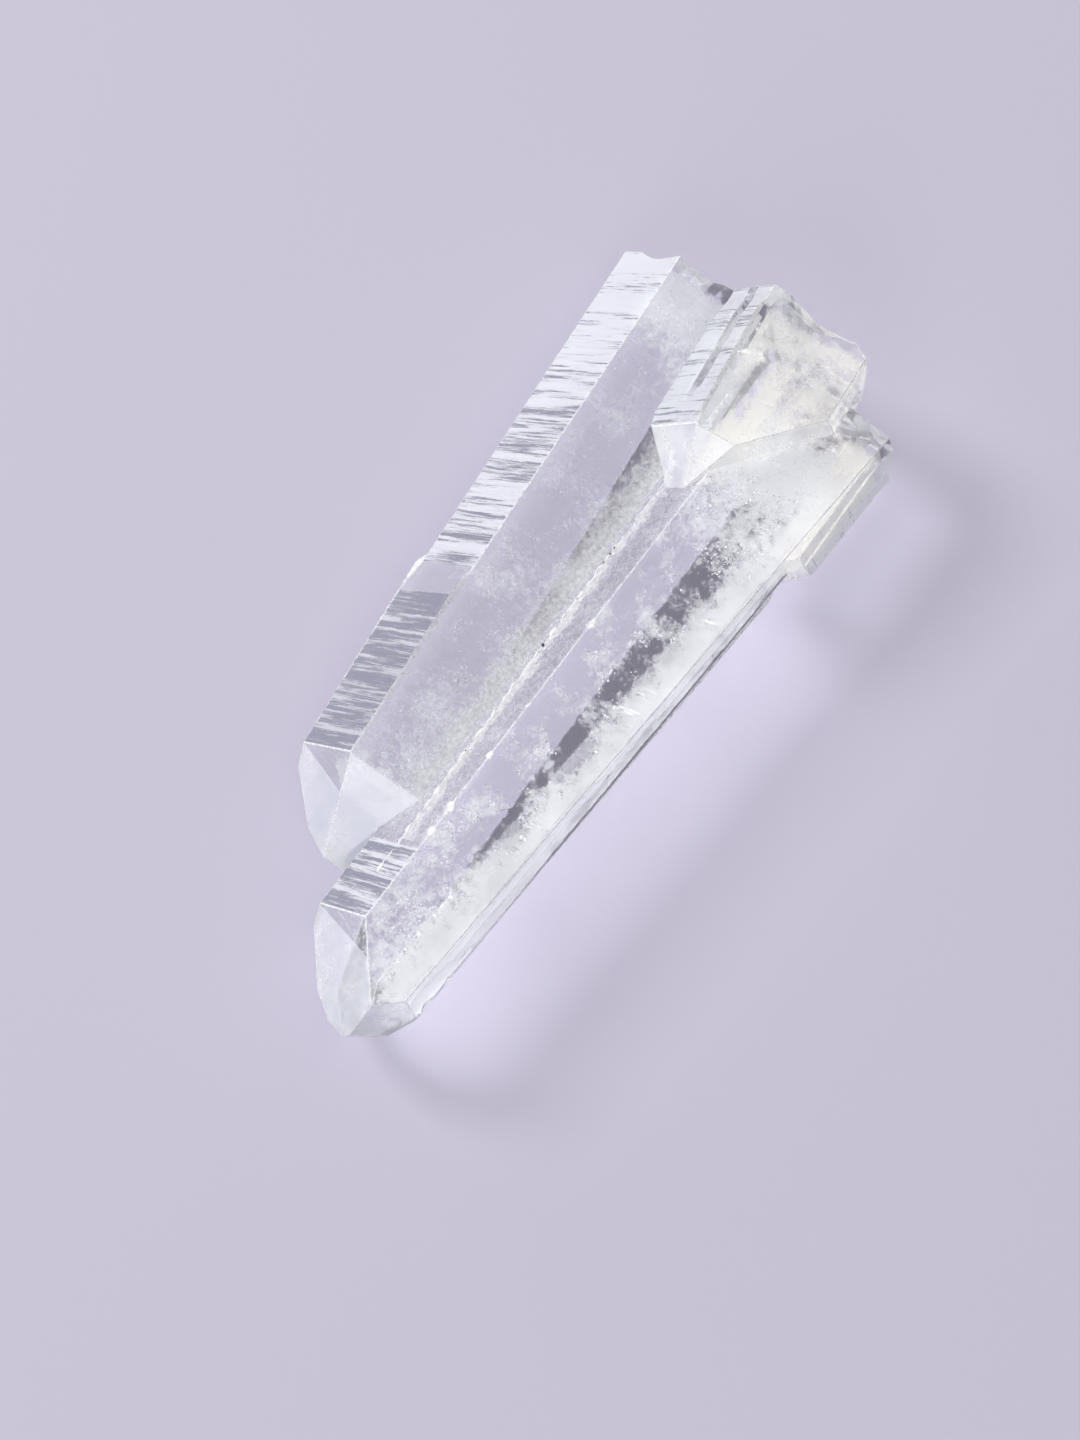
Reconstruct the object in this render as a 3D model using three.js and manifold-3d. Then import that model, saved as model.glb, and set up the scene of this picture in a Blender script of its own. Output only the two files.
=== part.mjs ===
// A natural quartz point: two long crystals grown together side by side, with a
// shorter third crystal bedded over their seam and two thin ones on the right flank.
// It lies on its long sides. X runs along it towards the tips, Z is up and +Y is
// the side of the longer crystal. Lengths are in millimetres, angles in degrees.
import * as THREE from 'three';
import { ConvexGeometry } from 'three/addons/geometries/ConvexGeometry.js';
import { mergeVertices } from 'three/addons/utils/BufferGeometryUtils.js';
import Module from 'manifold-3d';

// Quartz keeps the same angles in every crystal: prism faces 60 degrees apart, and
// pointed faces that lean this far from the prism face below them.
const PRISM_STEP = 60;
const POINT_SLOPE = 38.2;
const SIDES = 6;

// Each crystal starts at the broken end, at the middle of its own section.
// Its faces are listed from the top one round by the +Y side:
//   out    how far the prism face stands from the axis at the broken end
//   lean   how much that face closes in towards the tip
//   reach  where the pointed face above it would meet the axis (0 for none)
const LEFT_CRYSTAL = {
  start: [-24.6, -6.3, 2.55], yaw: 3.2, roll: 17,
  out: [2.8, 5.2, 3.8, 2.2, 4.6, 3.3],
  lean: [0, 2.1, 0.5, 0.5, 0.95, 0.05],
  reach: [36.9, 0, 0, 38.7, 39.4, 37.45],
};
const RIGHT_CRYSTAL = {
  start: [-21.85, 3.0, 3.8], yaw: -3.2, roll: 11,
  out: [2.9, 4.9, 2.85, 3.95, 5.0, 3.6],
  lean: [0, 1.2, 0, 0.5, 1.9, 1.65],
  reach: [0, 44.95, 0, 43.65, 43.4, 40.9],
};
const TOP_CRYSTAL = {
  start: [-24.7, 0.55, 5.75], yaw: 6.1, roll: 10,
  out: [2.45, 4.1, 3.2, 2.5, 4.2, 3.7],
  lean: [0, 2, 0.5, 0, -3.6, 0.65],
  reach: [12.2, 10.2, 0, 0, 14.9, 13.6],
};
const FLANK_CRYSTALS = [
  {
    start: [-21.4, 6.45, 4.6], yaw: 1.5, roll: 4,
    out: [1.2, 1.3, 1.4, 1.4, 1.4, 1.3],
    lean: [0, 1.5, 0, 0, 0, 0],
    reach: [10.4, 9.6, 9.8, 0, 0, 10.2],
  },
  {
    start: [-20.9, 6.55, 3.3], yaw: -1, roll: 14,
    out: [1.3, 1.45, 1.5, 1.3, 1.4, 1.3],
    lean: [0, 2.5, 1, 0, 0, 0],
    reach: [8.6, 8.4, 8.4, 0, 0, 8.4],
  },
];

// The blunt end of the longer tip: two worn facets across its point.
const WORN_TIP = [
  { reach: 43.9, turn: 110, slope: 50 },
  { reach: 43.1, turn: 161, slope: 53 },
];

// Growth terraces: thin plates that stand proud of one prism face.
//   face   index of the prism face, from and to along the axis
//   high   how far it stands off the face where it begins
//   close  how many degrees it sinks back into the face towards the tip
const LEFT_TERRACES = [
  { face: 5, from: 22.3, to: 36, high: 0.26, close: 1.1 },
  { face: 4, from: 20.8, to: 36, high: 0.34, close: 1.2 },
  { face: 5, from: 1.2, to: 8.1, high: 0.1, close: 0.3 },
  { face: 4, from: 3.0, to: 12.5, high: 0.2, close: 0.5 },
];
const RIGHT_TERRACES = [
  { face: 2, from: 10.5, to: 31.0, high: 0.2, close: 0.4 },
  { face: 1, from: 21.0, to: 40, high: 0.18, close: 0.5 },
];
const TOP_TERRACES = [
  { face: 5, from: 0.6, to: 9.4, high: 0.28, close: 0.4 },
];
const TERRACE_END_LEAN = 35;
const TERRACE_ROOT = 0.3;

// Cross striations: shallow V grooves square to the axis on the steep left faces.
const GROOVE_DEPTH = 0.09;
// A groove's length, as a multiple of the face's distance from the axis.
const GROOVE_SPAN = 2.4;
const STEEP_LEFT_FACE = 5;
//   at     places along the axis
//   raise  height of the terrace that they are cut into
const LEFT_GROOVES = [
  { raise: 0, at: [8.8, 9.7, 11.1, 12.0, 13.6, 14.4, 16.1, 17.3, 18.1, 19.8, 20.9] },
  { raise: 0.2, at: [24.3, 25.4, 26.2, 27.6] },
  { raise: 0.1, at: [28.7, 29.7, 31.2, 32.1] },
];
const RIGHT_GROOVES = [
  { raise: 0, at: [33.0, 33.9, 34.6, 35.6] },
];

// Scooped breaks: shell-like hollows where the piece snapped off, and chips on edges.
const BROKEN_END_SCOOPS = [
  { centre: [-29.9, -7.4, 3.4], radius: 6.2 },
  { centre: [-29.0, -2.8, 1.6], radius: 5.0 },
  { centre: [-29.6, 1.2, 7.2], radius: 5.6 },
  { centre: [-28.3, 5.4, 6.2], radius: 4.6 },
  { centre: [-27.3, 2.9, 2.2], radius: 6.2 },
  { centre: [-25.9, 7.9, 3.6], radius: 4.6 },
];
const EDGE_CHIPS = [
  { centre: [8.7, -0.05, 7.3], radius: 0.6 },
  { centre: [10.1, -0.1, 7.25], radius: 0.5 },
  { centre: [-3.6, 0.6, 7.4], radius: 0.55 },
  { centre: [17.5, 6.3, 4.9], radius: 0.9 },
  { centre: [15.2, 6.7, 4.7], radius: 0.8 },
  { centre: [-2.9, -9.2, 3.4], radius: 0.7 },
];
const SCOOP_SEGMENTS = 20;
const CHIP_SEGMENTS = 10;

// The lowest edges are worn flat, and the piece rests on them.
const TRIM_BLOCK = { width: 120, deep: 10 };

const UP = new THREE.Vector3(0, 0, 1);
const MERGE_DISTANCE = 1e-4;
const INSIDE_TOLERANCE = 1e-5;
const SMALLEST_DETERMINANT = 1e-6;

const wasm = await Module();
wasm.setup();

// A closed geometry as a solid that can be joined and cut.
function toSolid(geometry) {
  const bare = geometry.clone();
  bare.deleteAttribute('normal');
  bare.deleteAttribute('uv');
  const merged = mergeVertices(bare, MERGE_DISTANCE);
  const mesh = new wasm.Mesh({
    numProp: 3,
    vertProperties: new Float32Array(merged.attributes.position.array),
    triVerts: new Uint32Array(merged.index.array),
  });
  return new wasm.Manifold(mesh);
}

function toGeometry(solid) {
  const mesh = solid.getMesh();
  const geometry = new THREE.BufferGeometry();
  geometry.setAttribute('position', new THREE.BufferAttribute(mesh.vertProperties, 3));
  geometry.setIndex(new THREE.BufferAttribute(mesh.triVerts, 1));
  const flat = geometry.toNonIndexed();
  flat.computeVertexNormals();
  return flat;
}

// The point where three planes meet, or null where two of them run side by side.
function meetingPoint(a, b, c) {
  const rows = new THREE.Matrix3().set(
    a.normal.x, a.normal.y, a.normal.z,
    b.normal.x, b.normal.y, b.normal.z,
    c.normal.x, c.normal.y, c.normal.z,
  );
  if (Math.abs(rows.determinant()) < SMALLEST_DETERMINANT) return null;
  return new THREE.Vector3(-a.constant, -b.constant, -c.constant).applyMatrix3(rows.invert());
}

// The solid enclosed by flat faces, each given as a plane that faces outwards.
function solidWithin(planes) {
  const corners = [];
  for (let i = 0; i < planes.length; i++) {
    for (let j = i + 1; j < planes.length; j++) {
      for (let k = j + 1; k < planes.length; k++) {
        const corner = meetingPoint(planes[i], planes[j], planes[k]);
        if (!corner) continue;
        if (planes.some((plane) => plane.distanceToPoint(corner) > INSIDE_TOLERANCE)) continue;
        if (corners.some((known) => known.distanceTo(corner) < MERGE_DISTANCE)) continue;
        corners.push(corner);
      }
    }
  }
  return toSolid(new ConvexGeometry(corners));
}

// The directions of one crystal, and the planes of its faces.
function layOut(crystal) {
  const yaw = THREE.MathUtils.degToRad(crystal.yaw);
  const axis = new THREE.Vector3(Math.cos(yaw), Math.sin(yaw), 0);
  const side = new THREE.Vector3().crossVectors(UP, axis);
  const start = new THREE.Vector3(...crystal.start);
  const outward = (turn) => {
    const angle = THREE.MathUtils.degToRad(turn);
    return UP.clone().multiplyScalar(Math.cos(angle)).addScaledVector(side, Math.sin(angle));
  };
  const faceNormal = (turn, slope) => {
    const angle = THREE.MathUtils.degToRad(slope);
    return outward(turn).multiplyScalar(Math.cos(angle)).addScaledVector(axis, Math.sin(angle));
  };
  const turnOf = (face) => crystal.roll + PRISM_STEP * face;
  const onFace = (face, along) => {
    const sink = Math.tan(THREE.MathUtils.degToRad(crystal.lean[face])) * along;
    return start.clone()
      .addScaledVector(axis, along)
      .addScaledVector(outward(turnOf(face)), crystal.out[face] - sink);
  };
  const prismFace = (face, { along = 0, raise = 0, close = 0 } = {}) => {
    const normal = faceNormal(turnOf(face), crystal.lean[face] + close);
    const foot = onFace(face, along).addScaledVector(outward(turnOf(face)), raise);
    return new THREE.Plane().setFromNormalAndCoplanarPoint(normal, foot);
  };
  const pointFace = (turn, reach, slope = POINT_SLOPE) => {
    const foot = start.clone().addScaledVector(axis, reach);
    return new THREE.Plane().setFromNormalAndCoplanarPoint(faceNormal(turn, slope), foot);
  };
  return { axis, start, outward, turnOf, onFace, prismFace, pointFace };
}

function growCrystal(crystal, wornFacets = []) {
  const { axis, start, turnOf, prismFace, pointFace } = layOut(crystal);
  const planes = [new THREE.Plane().setFromNormalAndCoplanarPoint(axis.clone().negate(), start)];
  for (let face = 0; face < SIDES; face++) {
    planes.push(prismFace(face));
    if (crystal.reach[face]) planes.push(pointFace(turnOf(face), crystal.reach[face]));
  }
  for (const { turn, reach, slope } of wornFacets) planes.push(pointFace(turn, reach, slope));
  return solidWithin(planes);
}

// A terrace lies between its neighbouring faces and its crystal's pointed faces.
function growTerrace(crystal, terrace) {
  const { axis, outward, turnOf, onFace, prismFace, pointFace } = layOut(crystal);
  const { face, from, to, high, close } = terrace;
  const lean = THREE.MathUtils.degToRad(TERRACE_END_LEAN);
  const endPlane = (along, sign) => {
    const normal = outward(turnOf(face)).multiplyScalar(Math.sin(lean));
    normal.addScaledVector(axis, sign * Math.cos(lean));
    return new THREE.Plane().setFromNormalAndCoplanarPoint(normal, onFace(face, along));
  };
  const root = prismFace(face, { raise: -TERRACE_ROOT });
  const planes = [
    prismFace(face, { along: from, raise: high, close }),
    prismFace((face + SIDES - 1) % SIDES),
    prismFace((face + 1) % SIDES),
    new THREE.Plane(root.normal.clone().negate(), -root.constant),
    endPlane(from, -1),
    endPlane(to, 1),
  ];
  for (let other = 0; other < SIDES; other++) {
    if (crystal.reach[other]) planes.push(pointFace(turnOf(other), crystal.reach[other]));
  }
  return solidWithin(planes);
}

// A groove is a long square bar laid on its edge across the face.
function cutterForGroove(crystal, { face, at, raise }) {
  const { axis, outward, turnOf, onFace } = layOut(crystal);
  const out = outward(turnOf(face));
  const across = new THREE.Vector3().crossVectors(out, axis);
  const barSize = GROOVE_DEPTH * 2 * Math.SQRT2;
  const geometry = new THREE.BoxGeometry(barSize, crystal.out[face] * GROOVE_SPAN, barSize);
  geometry.rotateY(Math.PI / 4);
  geometry.applyMatrix4(new THREE.Matrix4().makeBasis(axis, across, out));
  const middle = onFace(face, at).addScaledVector(out, raise + GROOVE_DEPTH);
  geometry.translate(middle.x, middle.y, middle.z);
  return toSolid(geometry);
}

function ballCutter({ centre, radius }, segments) {
  const geometry = new THREE.SphereGeometry(radius, segments, Math.round(segments / 2));
  geometry.translate(...centre);
  return toSolid(geometry);
}

function belowTheFloor() {
  const geometry = new THREE.BoxGeometry(TRIM_BLOCK.width, TRIM_BLOCK.width, TRIM_BLOCK.deep);
  geometry.translate(0, 0, -TRIM_BLOCK.deep / 2);
  return toSolid(geometry);
}

// One crystal with its terraces on it and its striations cut.
function dress(crystal, { terraces = [], grooves = [], wornFacets = [] }) {
  let solid = growCrystal(crystal, wornFacets);
  for (const terrace of terraces) solid = solid.add(growTerrace(crystal, terrace));
  for (const { raise, at } of grooves) {
    for (const along of at) {
      const cutter = cutterForGroove(crystal, { face: STEEP_LEFT_FACE, at: along, raise });
      solid = solid.subtract(cutter);
    }
  }
  return solid;
}

function growPiece() {
  const left = dress(LEFT_CRYSTAL, { terraces: LEFT_TERRACES, grooves: LEFT_GROOVES });
  const right = dress(RIGHT_CRYSTAL, {
    terraces: RIGHT_TERRACES, grooves: RIGHT_GROOVES, wornFacets: WORN_TIP,
  });
  const top = dress(TOP_CRYSTAL, { terraces: TOP_TERRACES });
  let piece = left.add(right).add(top);
  for (const crystal of FLANK_CRYSTALS) piece = piece.add(growCrystal(crystal));
  for (const scoop of BROKEN_END_SCOOPS) piece = piece.subtract(ballCutter(scoop, SCOOP_SEGMENTS));
  for (const chip of EDGE_CHIPS) piece = piece.subtract(ballCutter(chip, CHIP_SEGMENTS));
  return piece.subtract(belowTheFloor());
}

const geometry = toGeometry(growPiece());
const material = new THREE.MeshStandardMaterial({ color: 0xe9e8ec, roughness: 0.08, metalness: 0 });
const quartz = new THREE.Mesh(geometry, material);
quartz.name = 'quartz_point';

// The origin is below the middle of the piece, on the surface that it lies on.
geometry.computeBoundingBox();
const middle = geometry.boundingBox.getCenter(new THREE.Vector3());
quartz.position.set(-middle.x, -middle.y, 0);

const part = new THREE.Group();
part.add(quartz);

export default part;
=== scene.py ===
# %% [markdown]
# # A natural quartz point
#
# Two long clear crystals have grown together side by side. A shorter third one is bedded over
# their seam near the broken end, and two thin ones cling to the right flank. The piece lies on
# its long sides, with the tips towards +X. The lesson builds the stone as nature does, as flat
# faces that close in on a block, and then gives it its growth lines, breaks, veils and finish.

# %% Imports and the fixed frame
import math
import random

import bmesh
import bpy
from mathutils import Matrix, Vector, noise


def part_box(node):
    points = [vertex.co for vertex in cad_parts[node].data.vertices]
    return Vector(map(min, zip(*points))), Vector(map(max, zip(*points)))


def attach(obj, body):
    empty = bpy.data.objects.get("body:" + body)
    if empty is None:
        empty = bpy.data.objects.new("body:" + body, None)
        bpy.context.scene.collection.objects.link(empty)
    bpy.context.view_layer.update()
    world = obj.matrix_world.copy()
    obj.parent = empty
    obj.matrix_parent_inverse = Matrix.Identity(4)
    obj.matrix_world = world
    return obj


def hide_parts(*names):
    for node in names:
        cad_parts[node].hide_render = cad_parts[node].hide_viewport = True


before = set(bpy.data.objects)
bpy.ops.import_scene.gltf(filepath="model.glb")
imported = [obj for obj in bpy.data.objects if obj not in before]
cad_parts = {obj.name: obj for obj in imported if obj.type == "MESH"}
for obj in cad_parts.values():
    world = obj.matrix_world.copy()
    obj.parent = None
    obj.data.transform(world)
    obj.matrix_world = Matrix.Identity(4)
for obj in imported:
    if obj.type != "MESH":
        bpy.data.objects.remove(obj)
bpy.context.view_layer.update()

# %% [markdown]
# ## Units and the crystals' own measures
#
# A crystal is easiest to think about in millimetres and degrees, so every shape is cut at bench
# size, one unit to a millimetre, and shrunk to metres at the end. Quartz keeps the same angles
# in every crystal: six prism faces 60 degrees apart, and pointed faces that lean 38.2 degrees
# from the prism face below. Only the distances differ, so a crystal is a short table of them.

# %% Measures of the five crystals
MM = 0.001
SIDES = 6
PRISM_STEP = 60.0
POINT_SLOPE = 38.2

# Prism faces count from the top one round by the +Y side. "out" is a face's distance from the
# axis at the broken end, "lean" how many degrees it closes in towards the tip, and "reach" where
# the pointed face above it would meet the axis, 0 for none.
LEFT = dict(
    start=(-24.6, -6.3, 2.55), yaw=3.2, roll=17.0,
    out=(2.8, 5.2, 3.8, 2.2, 4.6, 3.3),
    lean=(0.0, 2.1, 0.5, 0.5, 0.95, 0.05),
    reach=(36.9, 0, 0, 38.7, 39.4, 37.45),
)
RIGHT = dict(
    start=(-21.85, 3.0, 3.8), yaw=-3.2, roll=11.0,
    out=(2.9, 4.9, 2.85, 3.95, 5.0, 3.6),
    lean=(0.0, 1.2, 0.0, 0.5, 1.9, 1.65),
    reach=(0, 44.95, 0, 43.65, 43.4, 40.9),
)
TOP = dict(
    start=(-24.7, 0.55, 5.75), yaw=6.1, roll=10.0,
    out=(2.45, 4.1, 3.2, 2.5, 4.2, 3.7),
    lean=(0.0, 2.0, 0.5, 0.0, -3.6, 0.65),
    reach=(12.2, 10.2, 0, 0, 14.9, 13.6),
)
FLANK_UPPER = dict(
    start=(-21.4, 6.45, 4.6), yaw=1.5, roll=4.0,
    out=(1.2, 1.3, 1.4, 1.4, 1.4, 1.3),
    lean=(0.0, 1.5, 0.0, 0.0, 0.0, 0.0),
    reach=(10.4, 9.6, 9.8, 0, 0, 10.2),
)
FLANK_LOWER = dict(
    start=(-20.9, 6.55, 3.3), yaw=-1.0, roll=14.0,
    out=(1.3, 1.45, 1.5, 1.3, 1.4, 1.3),
    lean=(0.0, 2.5, 1.0, 0.0, 0.0, 0.0),
    reach=(8.6, 8.4, 8.4, 0, 0, 8.4),
)
# The longer tip is blunt: two worn facets, each (reach, turn, slope).
WORN_TIP = ((43.9, 110.0, 50.0), (43.1, 161.0, 53.0))
print("faces meet their axis at most", max(LEFT["reach"]), "and", max(RIGHT["reach"]), "mm along")

# %% [markdown]
# ### Finding a way round a crystal
#
# Every later step asks the same four things: where the crystal's axis points, which way a face
# looks, how a leaning face is turned, and how far the face stands from the axis. A face could be
# found again by measuring the mesh, but asking the table of measures is exact and stays so.

# %% Directions and distances
UP = Vector((0, 0, 1))


def directions(crystal):
    """The crystal's start, its long axis and its level side direction."""
    yaw = math.radians(crystal["yaw"])
    axis = Vector((math.cos(yaw), math.sin(yaw), 0))
    return Vector(crystal["start"]), axis, UP.cross(axis)


def outward(crystal, turn):
    """The direction square to the axis, turned from straight up towards +Y."""
    side = directions(crystal)[2]
    angle = math.radians(turn)
    return UP * math.cos(angle) + side * math.sin(angle)


def turn_of(crystal, face):
    return crystal["roll"] + PRISM_STEP * face


def slanted(crystal, turn, slope):
    """A face's outward normal when it leans by slope degrees towards the tip."""
    axis = directions(crystal)[1]
    angle = math.radians(slope)
    return outward(crystal, turn) * math.cos(angle) + axis * math.sin(angle)


def half_width(crystal, face, along):
    """How far a prism face stands from the axis at a place along it."""
    return crystal["out"][face] - math.tan(math.radians(crystal["lean"][face])) * along


print("the left crystal's axis points along", tuple(round(part, 3) for part in directions(LEFT)[1]))

# %% [markdown]
# ## The materials' names come first
#
# One clear stone shows several finishes: glassy prism faces, striated flanks, satin pointed
# faces, frosted groove walls, rubbed edges and the fresh break. Each face has to know its finish
# while it is being cut, because that is the only moment when its kind is known. So the materials
# are made now as empty names in a fixed order, and their nodes are filled in later.

# %% Six finishes in a fixed order
CLEAR, STRIATED, SATIN, FROSTED, EDGE_SHEEN_AND_CHIPS, BROKEN = range(6)
FINISHES = [bpy.data.materials.new(name) for name in
            ("clear_quartz", "striated_quartz", "satin_quartz",
             "frosted_quartz", "chips_and_painted_edge_sheen", "broken_quartz")]


def add_object(name, bm, materials):
    """Turns a bmesh into an object in the scene, and frees the bmesh."""
    mesh = bpy.data.meshes.new(name)
    bm.to_mesh(mesh)
    bm.free()
    for material in materials:
        mesh.materials.append(material)
    piece = bpy.data.objects.new(name, mesh)
    bpy.context.scene.collection.objects.link(piece)
    return piece


print("finishes:", [finish.name for finish in FINISHES])

# %% [markdown]
# ## Cutting a crystal
#
# A crystal could be extruded from a drawn outline, but its tip would then be guesswork. Here a
# block is split along one flat face after another, as a cleaver would, and each split is closed
# with a new face. `bisect_plane` clears everything outside the plane, so the natural angles give
# the tip by themselves. A face keeps its number in an integer layer, so later steps can find it.

# %% The rough block and the splitting cut
BLOCK_SIZE = 160.0
SNAP = 1e-5
# The numbers in the integer layer: 0 to 5 for prism faces, 10 to 15 for pointed faces.
POINTED_FACE = 10
BASE_FACE = 20
EDGE_STRIP = 30


def split_off(bm, point, normal, kind, finish):
    """Clears what lies outside a plane and closes the cut with one face."""
    layer = bm.faces.layers.int["kind"]
    parts = bm.verts[:] + bm.edges[:] + bm.faces[:]
    cut = bmesh.ops.bisect_plane(
        bm, geom=parts, dist=SNAP, plane_co=point, plane_no=normal, clear_outer=True)
    rim = [edge for edge in cut["geom_cut"] if isinstance(edge, bmesh.types.BMEdge)]
    if rim:
        for face in bmesh.ops.contextual_create(bm, geom=rim)["faces"]:
            face[layer] = kind
            face.material_index = finish


# %% [markdown]
# ### From block to crystal
#
# The base comes first, then each prism face with the pointed face above it, then the worn facets.
# No edge of a real crystal is perfectly sharp. A Bevel modifier could round them, but then the
# strips couldn't be told from the faces, so the bevel is made now and its strips get their own
# finish and number. That finish is white, a painted highlight where the edges catch the light.

# %% Cutting all the faces of one crystal
EDGE_WIDTH = 0.045


def cut_crystal(crystal, finishes, worn=()):
    """A bmesh of one crystal, with every face numbered and given its finish."""
    start, axis, _ = directions(crystal)
    bm = bmesh.new()
    bm.faces.layers.int.new("kind")
    bmesh.ops.create_cube(bm, size=BLOCK_SIZE)
    split_off(bm, start, -axis, BASE_FACE, BROKEN)
    for face in range(SIDES):
        turn = turn_of(crystal, face)
        foot = start + outward(crystal, turn) * crystal["out"][face]
        split_off(bm, foot, slanted(crystal, turn, crystal["lean"][face]), face, finishes[face])
        reach = crystal["reach"][face]
        if reach:
            split_off(bm, start + axis * reach, slanted(crystal, turn, POINT_SLOPE),
                      POINTED_FACE + face, SATIN)
    for reach, turn, slope in worn:
        split_off(bm, start + axis * reach, slanted(crystal, turn, slope), POINTED_FACE, SATIN)
    bmesh.ops.recalc_face_normals(bm, faces=bm.faces[:])
    rounded = bmesh.ops.bevel(
        bm, geom=bm.edges[:], offset=EDGE_WIDTH, segments=2, profile=0.5, affect="EDGES",
        material=-1, clamp_overlap=True)
    layer = bm.faces.layers.int["kind"]
    # The strips' white finish is a painted highlight along the edges.
    for face in rounded["faces"]:
        face.material_index = EDGE_SHEEN_AND_CHIPS
        face[layer] = EDGE_STRIP
    return bm


print("edges are rounded over", EDGE_WIDTH, "mm")


# %% [markdown]
# ## Growth lines
#
# Prism faces of quartz carry fine steps square to the axis. Sunlight catches on them, which
# makes the left flanks white; here that white is partly painted into the lined finish as painted
# sheen. A bump texture would fade at the silhouette, so the steps are real: the crystal is sliced
# across at uneven places and each slice's corners are moved out or in. The rounded strip along an
# edge has a middle line, which follows the faces beside it.

# %% Slicing across
def uneven_places(first, last, gap, seed):
    """Places along a crystal with uneven gaps, as the growth lines have."""
    dice = random.Random(seed)
    places = []
    along = first
    while along < last:
        places.append(along)
        along += gap * dice.uniform(0.35, 1.75)
    return places


def with_borders(faces):
    """Faces with their edges and corners, each once and always in the same order."""
    parts = dict.fromkeys(faces)
    for face in faces:
        parts.update(dict.fromkeys((*face.edges, *face.verts)))
    return list(parts)


def slice_across(bm, crystal, places):
    """Cuts every face that spans one of the places along the crystal."""
    start, axis, _ = directions(crystal)
    for along in places:
        spanning = [face for face in bm.faces
                    if min((v.co - start).dot(axis) for v in face.verts) < along
                    < max((v.co - start).dot(axis) for v in face.verts)]
        bmesh.ops.bisect_plane(bm, geom=with_borders(spanning), dist=SNAP,
                               plane_co=start + axis * along, plane_no=axis)


def rule_lengthwise(bm, crystal, face_number, columns):
    """Splits one prism face into long strips, so its lines can change across it."""
    layer = bm.faces.layers.int["kind"]
    start, axis, _ = directions(crystal)
    across = axis.cross(outward(crystal, turn_of(crystal, face_number)))
    spots = [(v.co - start).dot(across)
             for f in bm.faces if f[layer] == face_number for v in f.verts]
    low, high = min(spots), max(spots)
    for column in range(1, columns):
        strips = [f for f in bm.faces if f[layer] == face_number]
        spot = low + (high - low) * column / columns
        bmesh.ops.bisect_plane(bm, geom=with_borders(strips), dist=SNAP,
                               plane_co=start + across * spot, plane_no=across)


print("a slicing pattern:", [round(place, 2) for place in uneven_places(0.0, 1.0, 0.2, 1)])

# %% [markdown]
# ### Moving the slices
#
# A corner is moved straight out of the face that it lies on, by a height that each crystal works
# out in its own way. Corners where two faces meet stay put, so the outline of the crystal keeps
# its angles. The height comes from noise that is stretched across the face, because a growth line
# runs nearly straight from edge to edge.

# %% Moving the slices
def raise_slices(bm, crystal, height):
    """Moves each slice's corners by height(face, along, across) of the faces they lie on."""
    layer = bm.faces.layers.int["kind"]
    start, axis, _ = directions(crystal)
    moves = {}
    for vert in bm.verts:
        kinds = {face[layer] for face in vert.link_faces} - {EDGE_STRIP}
        if len(kinds) != 1 or max(kinds) >= SIDES:
            continue
        kind = kinds.pop()
        out = outward(crystal, turn_of(crystal, kind))
        place = vert.co - start
        moves[vert] = out * height(kind, place.dot(axis), place.dot(axis.cross(out)))
    strips = {}
    for vert in bm.verts:
        beside = [edge.other_vert(vert) for edge in vert.link_edges]
        known = [moves[other] for other in beside if other in moves]
        if {face[layer] for face in vert.link_faces} == {EDGE_STRIP} and known:
            strips[vert] = sum(known, Vector()) / len(known)
    for vert, move in (*moves.items(), *strips.items()):
        vert.co += move
    print(f"moved {len(moves) + len(strips)} corners of the growth lines")


def ramp(value, low, high):
    """0 below low, 1 above high, and straight between them."""
    return min(1.0, max(0.0, (value - low) / (high - low)))


def growth_noise(along, across, seed):
    """Uneven steps along the crystal that drift a little across the face."""
    fine = noise.noise(Vector((along * 9.7, across * 0.55, seed)))
    broad = noise.noise(Vector((along * 2.1, across * 0.3, seed + 40.0)))
    return fine * 0.75 + broad * 0.45


print("step heights:", [round(growth_noise(0.13 * step, 0.0, 1.0), 2) for step in range(6)])

# %% [markdown]
# ### A map of the growth
#
# The finishes draw still finer lines, which have to run square to each crystal, and the five
# crystals point five ways. Object coordinates can't tell them apart, so every corner is given its
# place along and round its own crystal as a UV map. A second map says how strongly it is lined
# there and how pale it is. Where a face changes its finish half way, its slices do so by place.

# %% Growth map and changes of finish
FACE_SPACING = 20.0


def write_growth_map(bm, crystal, lining):
    """UV maps for finishes that follow the crystal: growth holds millimetres along it and round
    it, lining how strongly it is lined there and how pale it is."""
    layer = bm.faces.layers.int["kind"]
    growth = bm.loops.layers.uv.new("growth")
    lined = bm.loops.layers.uv.new("lining")
    start, axis, _ = directions(crystal)
    for face in bm.faces:
        kind = face[layer] % POINTED_FACE
        across = axis.cross(outward(crystal, turn_of(crystal, kind)))
        for loop in face.loops:
            place = loop.vert.co - start
            along = place.dot(axis)
            loop[growth].uv = (along, place.dot(across) + FACE_SPACING * kind)
            loop[lined].uv = lining(kind, along)


def refinish(bm, crystal, choose):
    """Gives slices another finish where choose(kind, along, across) names one."""
    layer = bm.faces.layers.int["kind"]
    start, axis, _ = directions(crystal)
    for face in bm.faces:
        kind = face[layer]
        if kind < SIDES:
            place = face.calc_center_median() - start
            across = axis.cross(outward(crystal, turn_of(crystal, kind)))
            finish = choose(kind, place.dot(axis), place.dot(across))
            face.material_index = face.material_index if finish is None else finish


print("faces lie", FACE_SPACING, "apart on the growth map")

# %% [markdown]
# ### A glassy corner
#
# The steep pointed face of each long crystal is satin, but its upper corner has stayed glassy: a
# triangle with one side on the edge to the prism face. A painted mask would blur its border. So
# the face is split along a line from the far corner to a place down the other edge, and the part
# by the near corner goes back to the clear finish.

# %% Glazing the corner of a pointed face
TOP_FACE, FLANK_UP, FLANK_DOWN, UNDERSIDE, LEFT_LOW, LEFT_STEEP = range(SIDES)
# Rounding an edge leaves tiny edges at its ends, which aren't sides of the face.
SHORT_EDGE = 1.0


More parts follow.
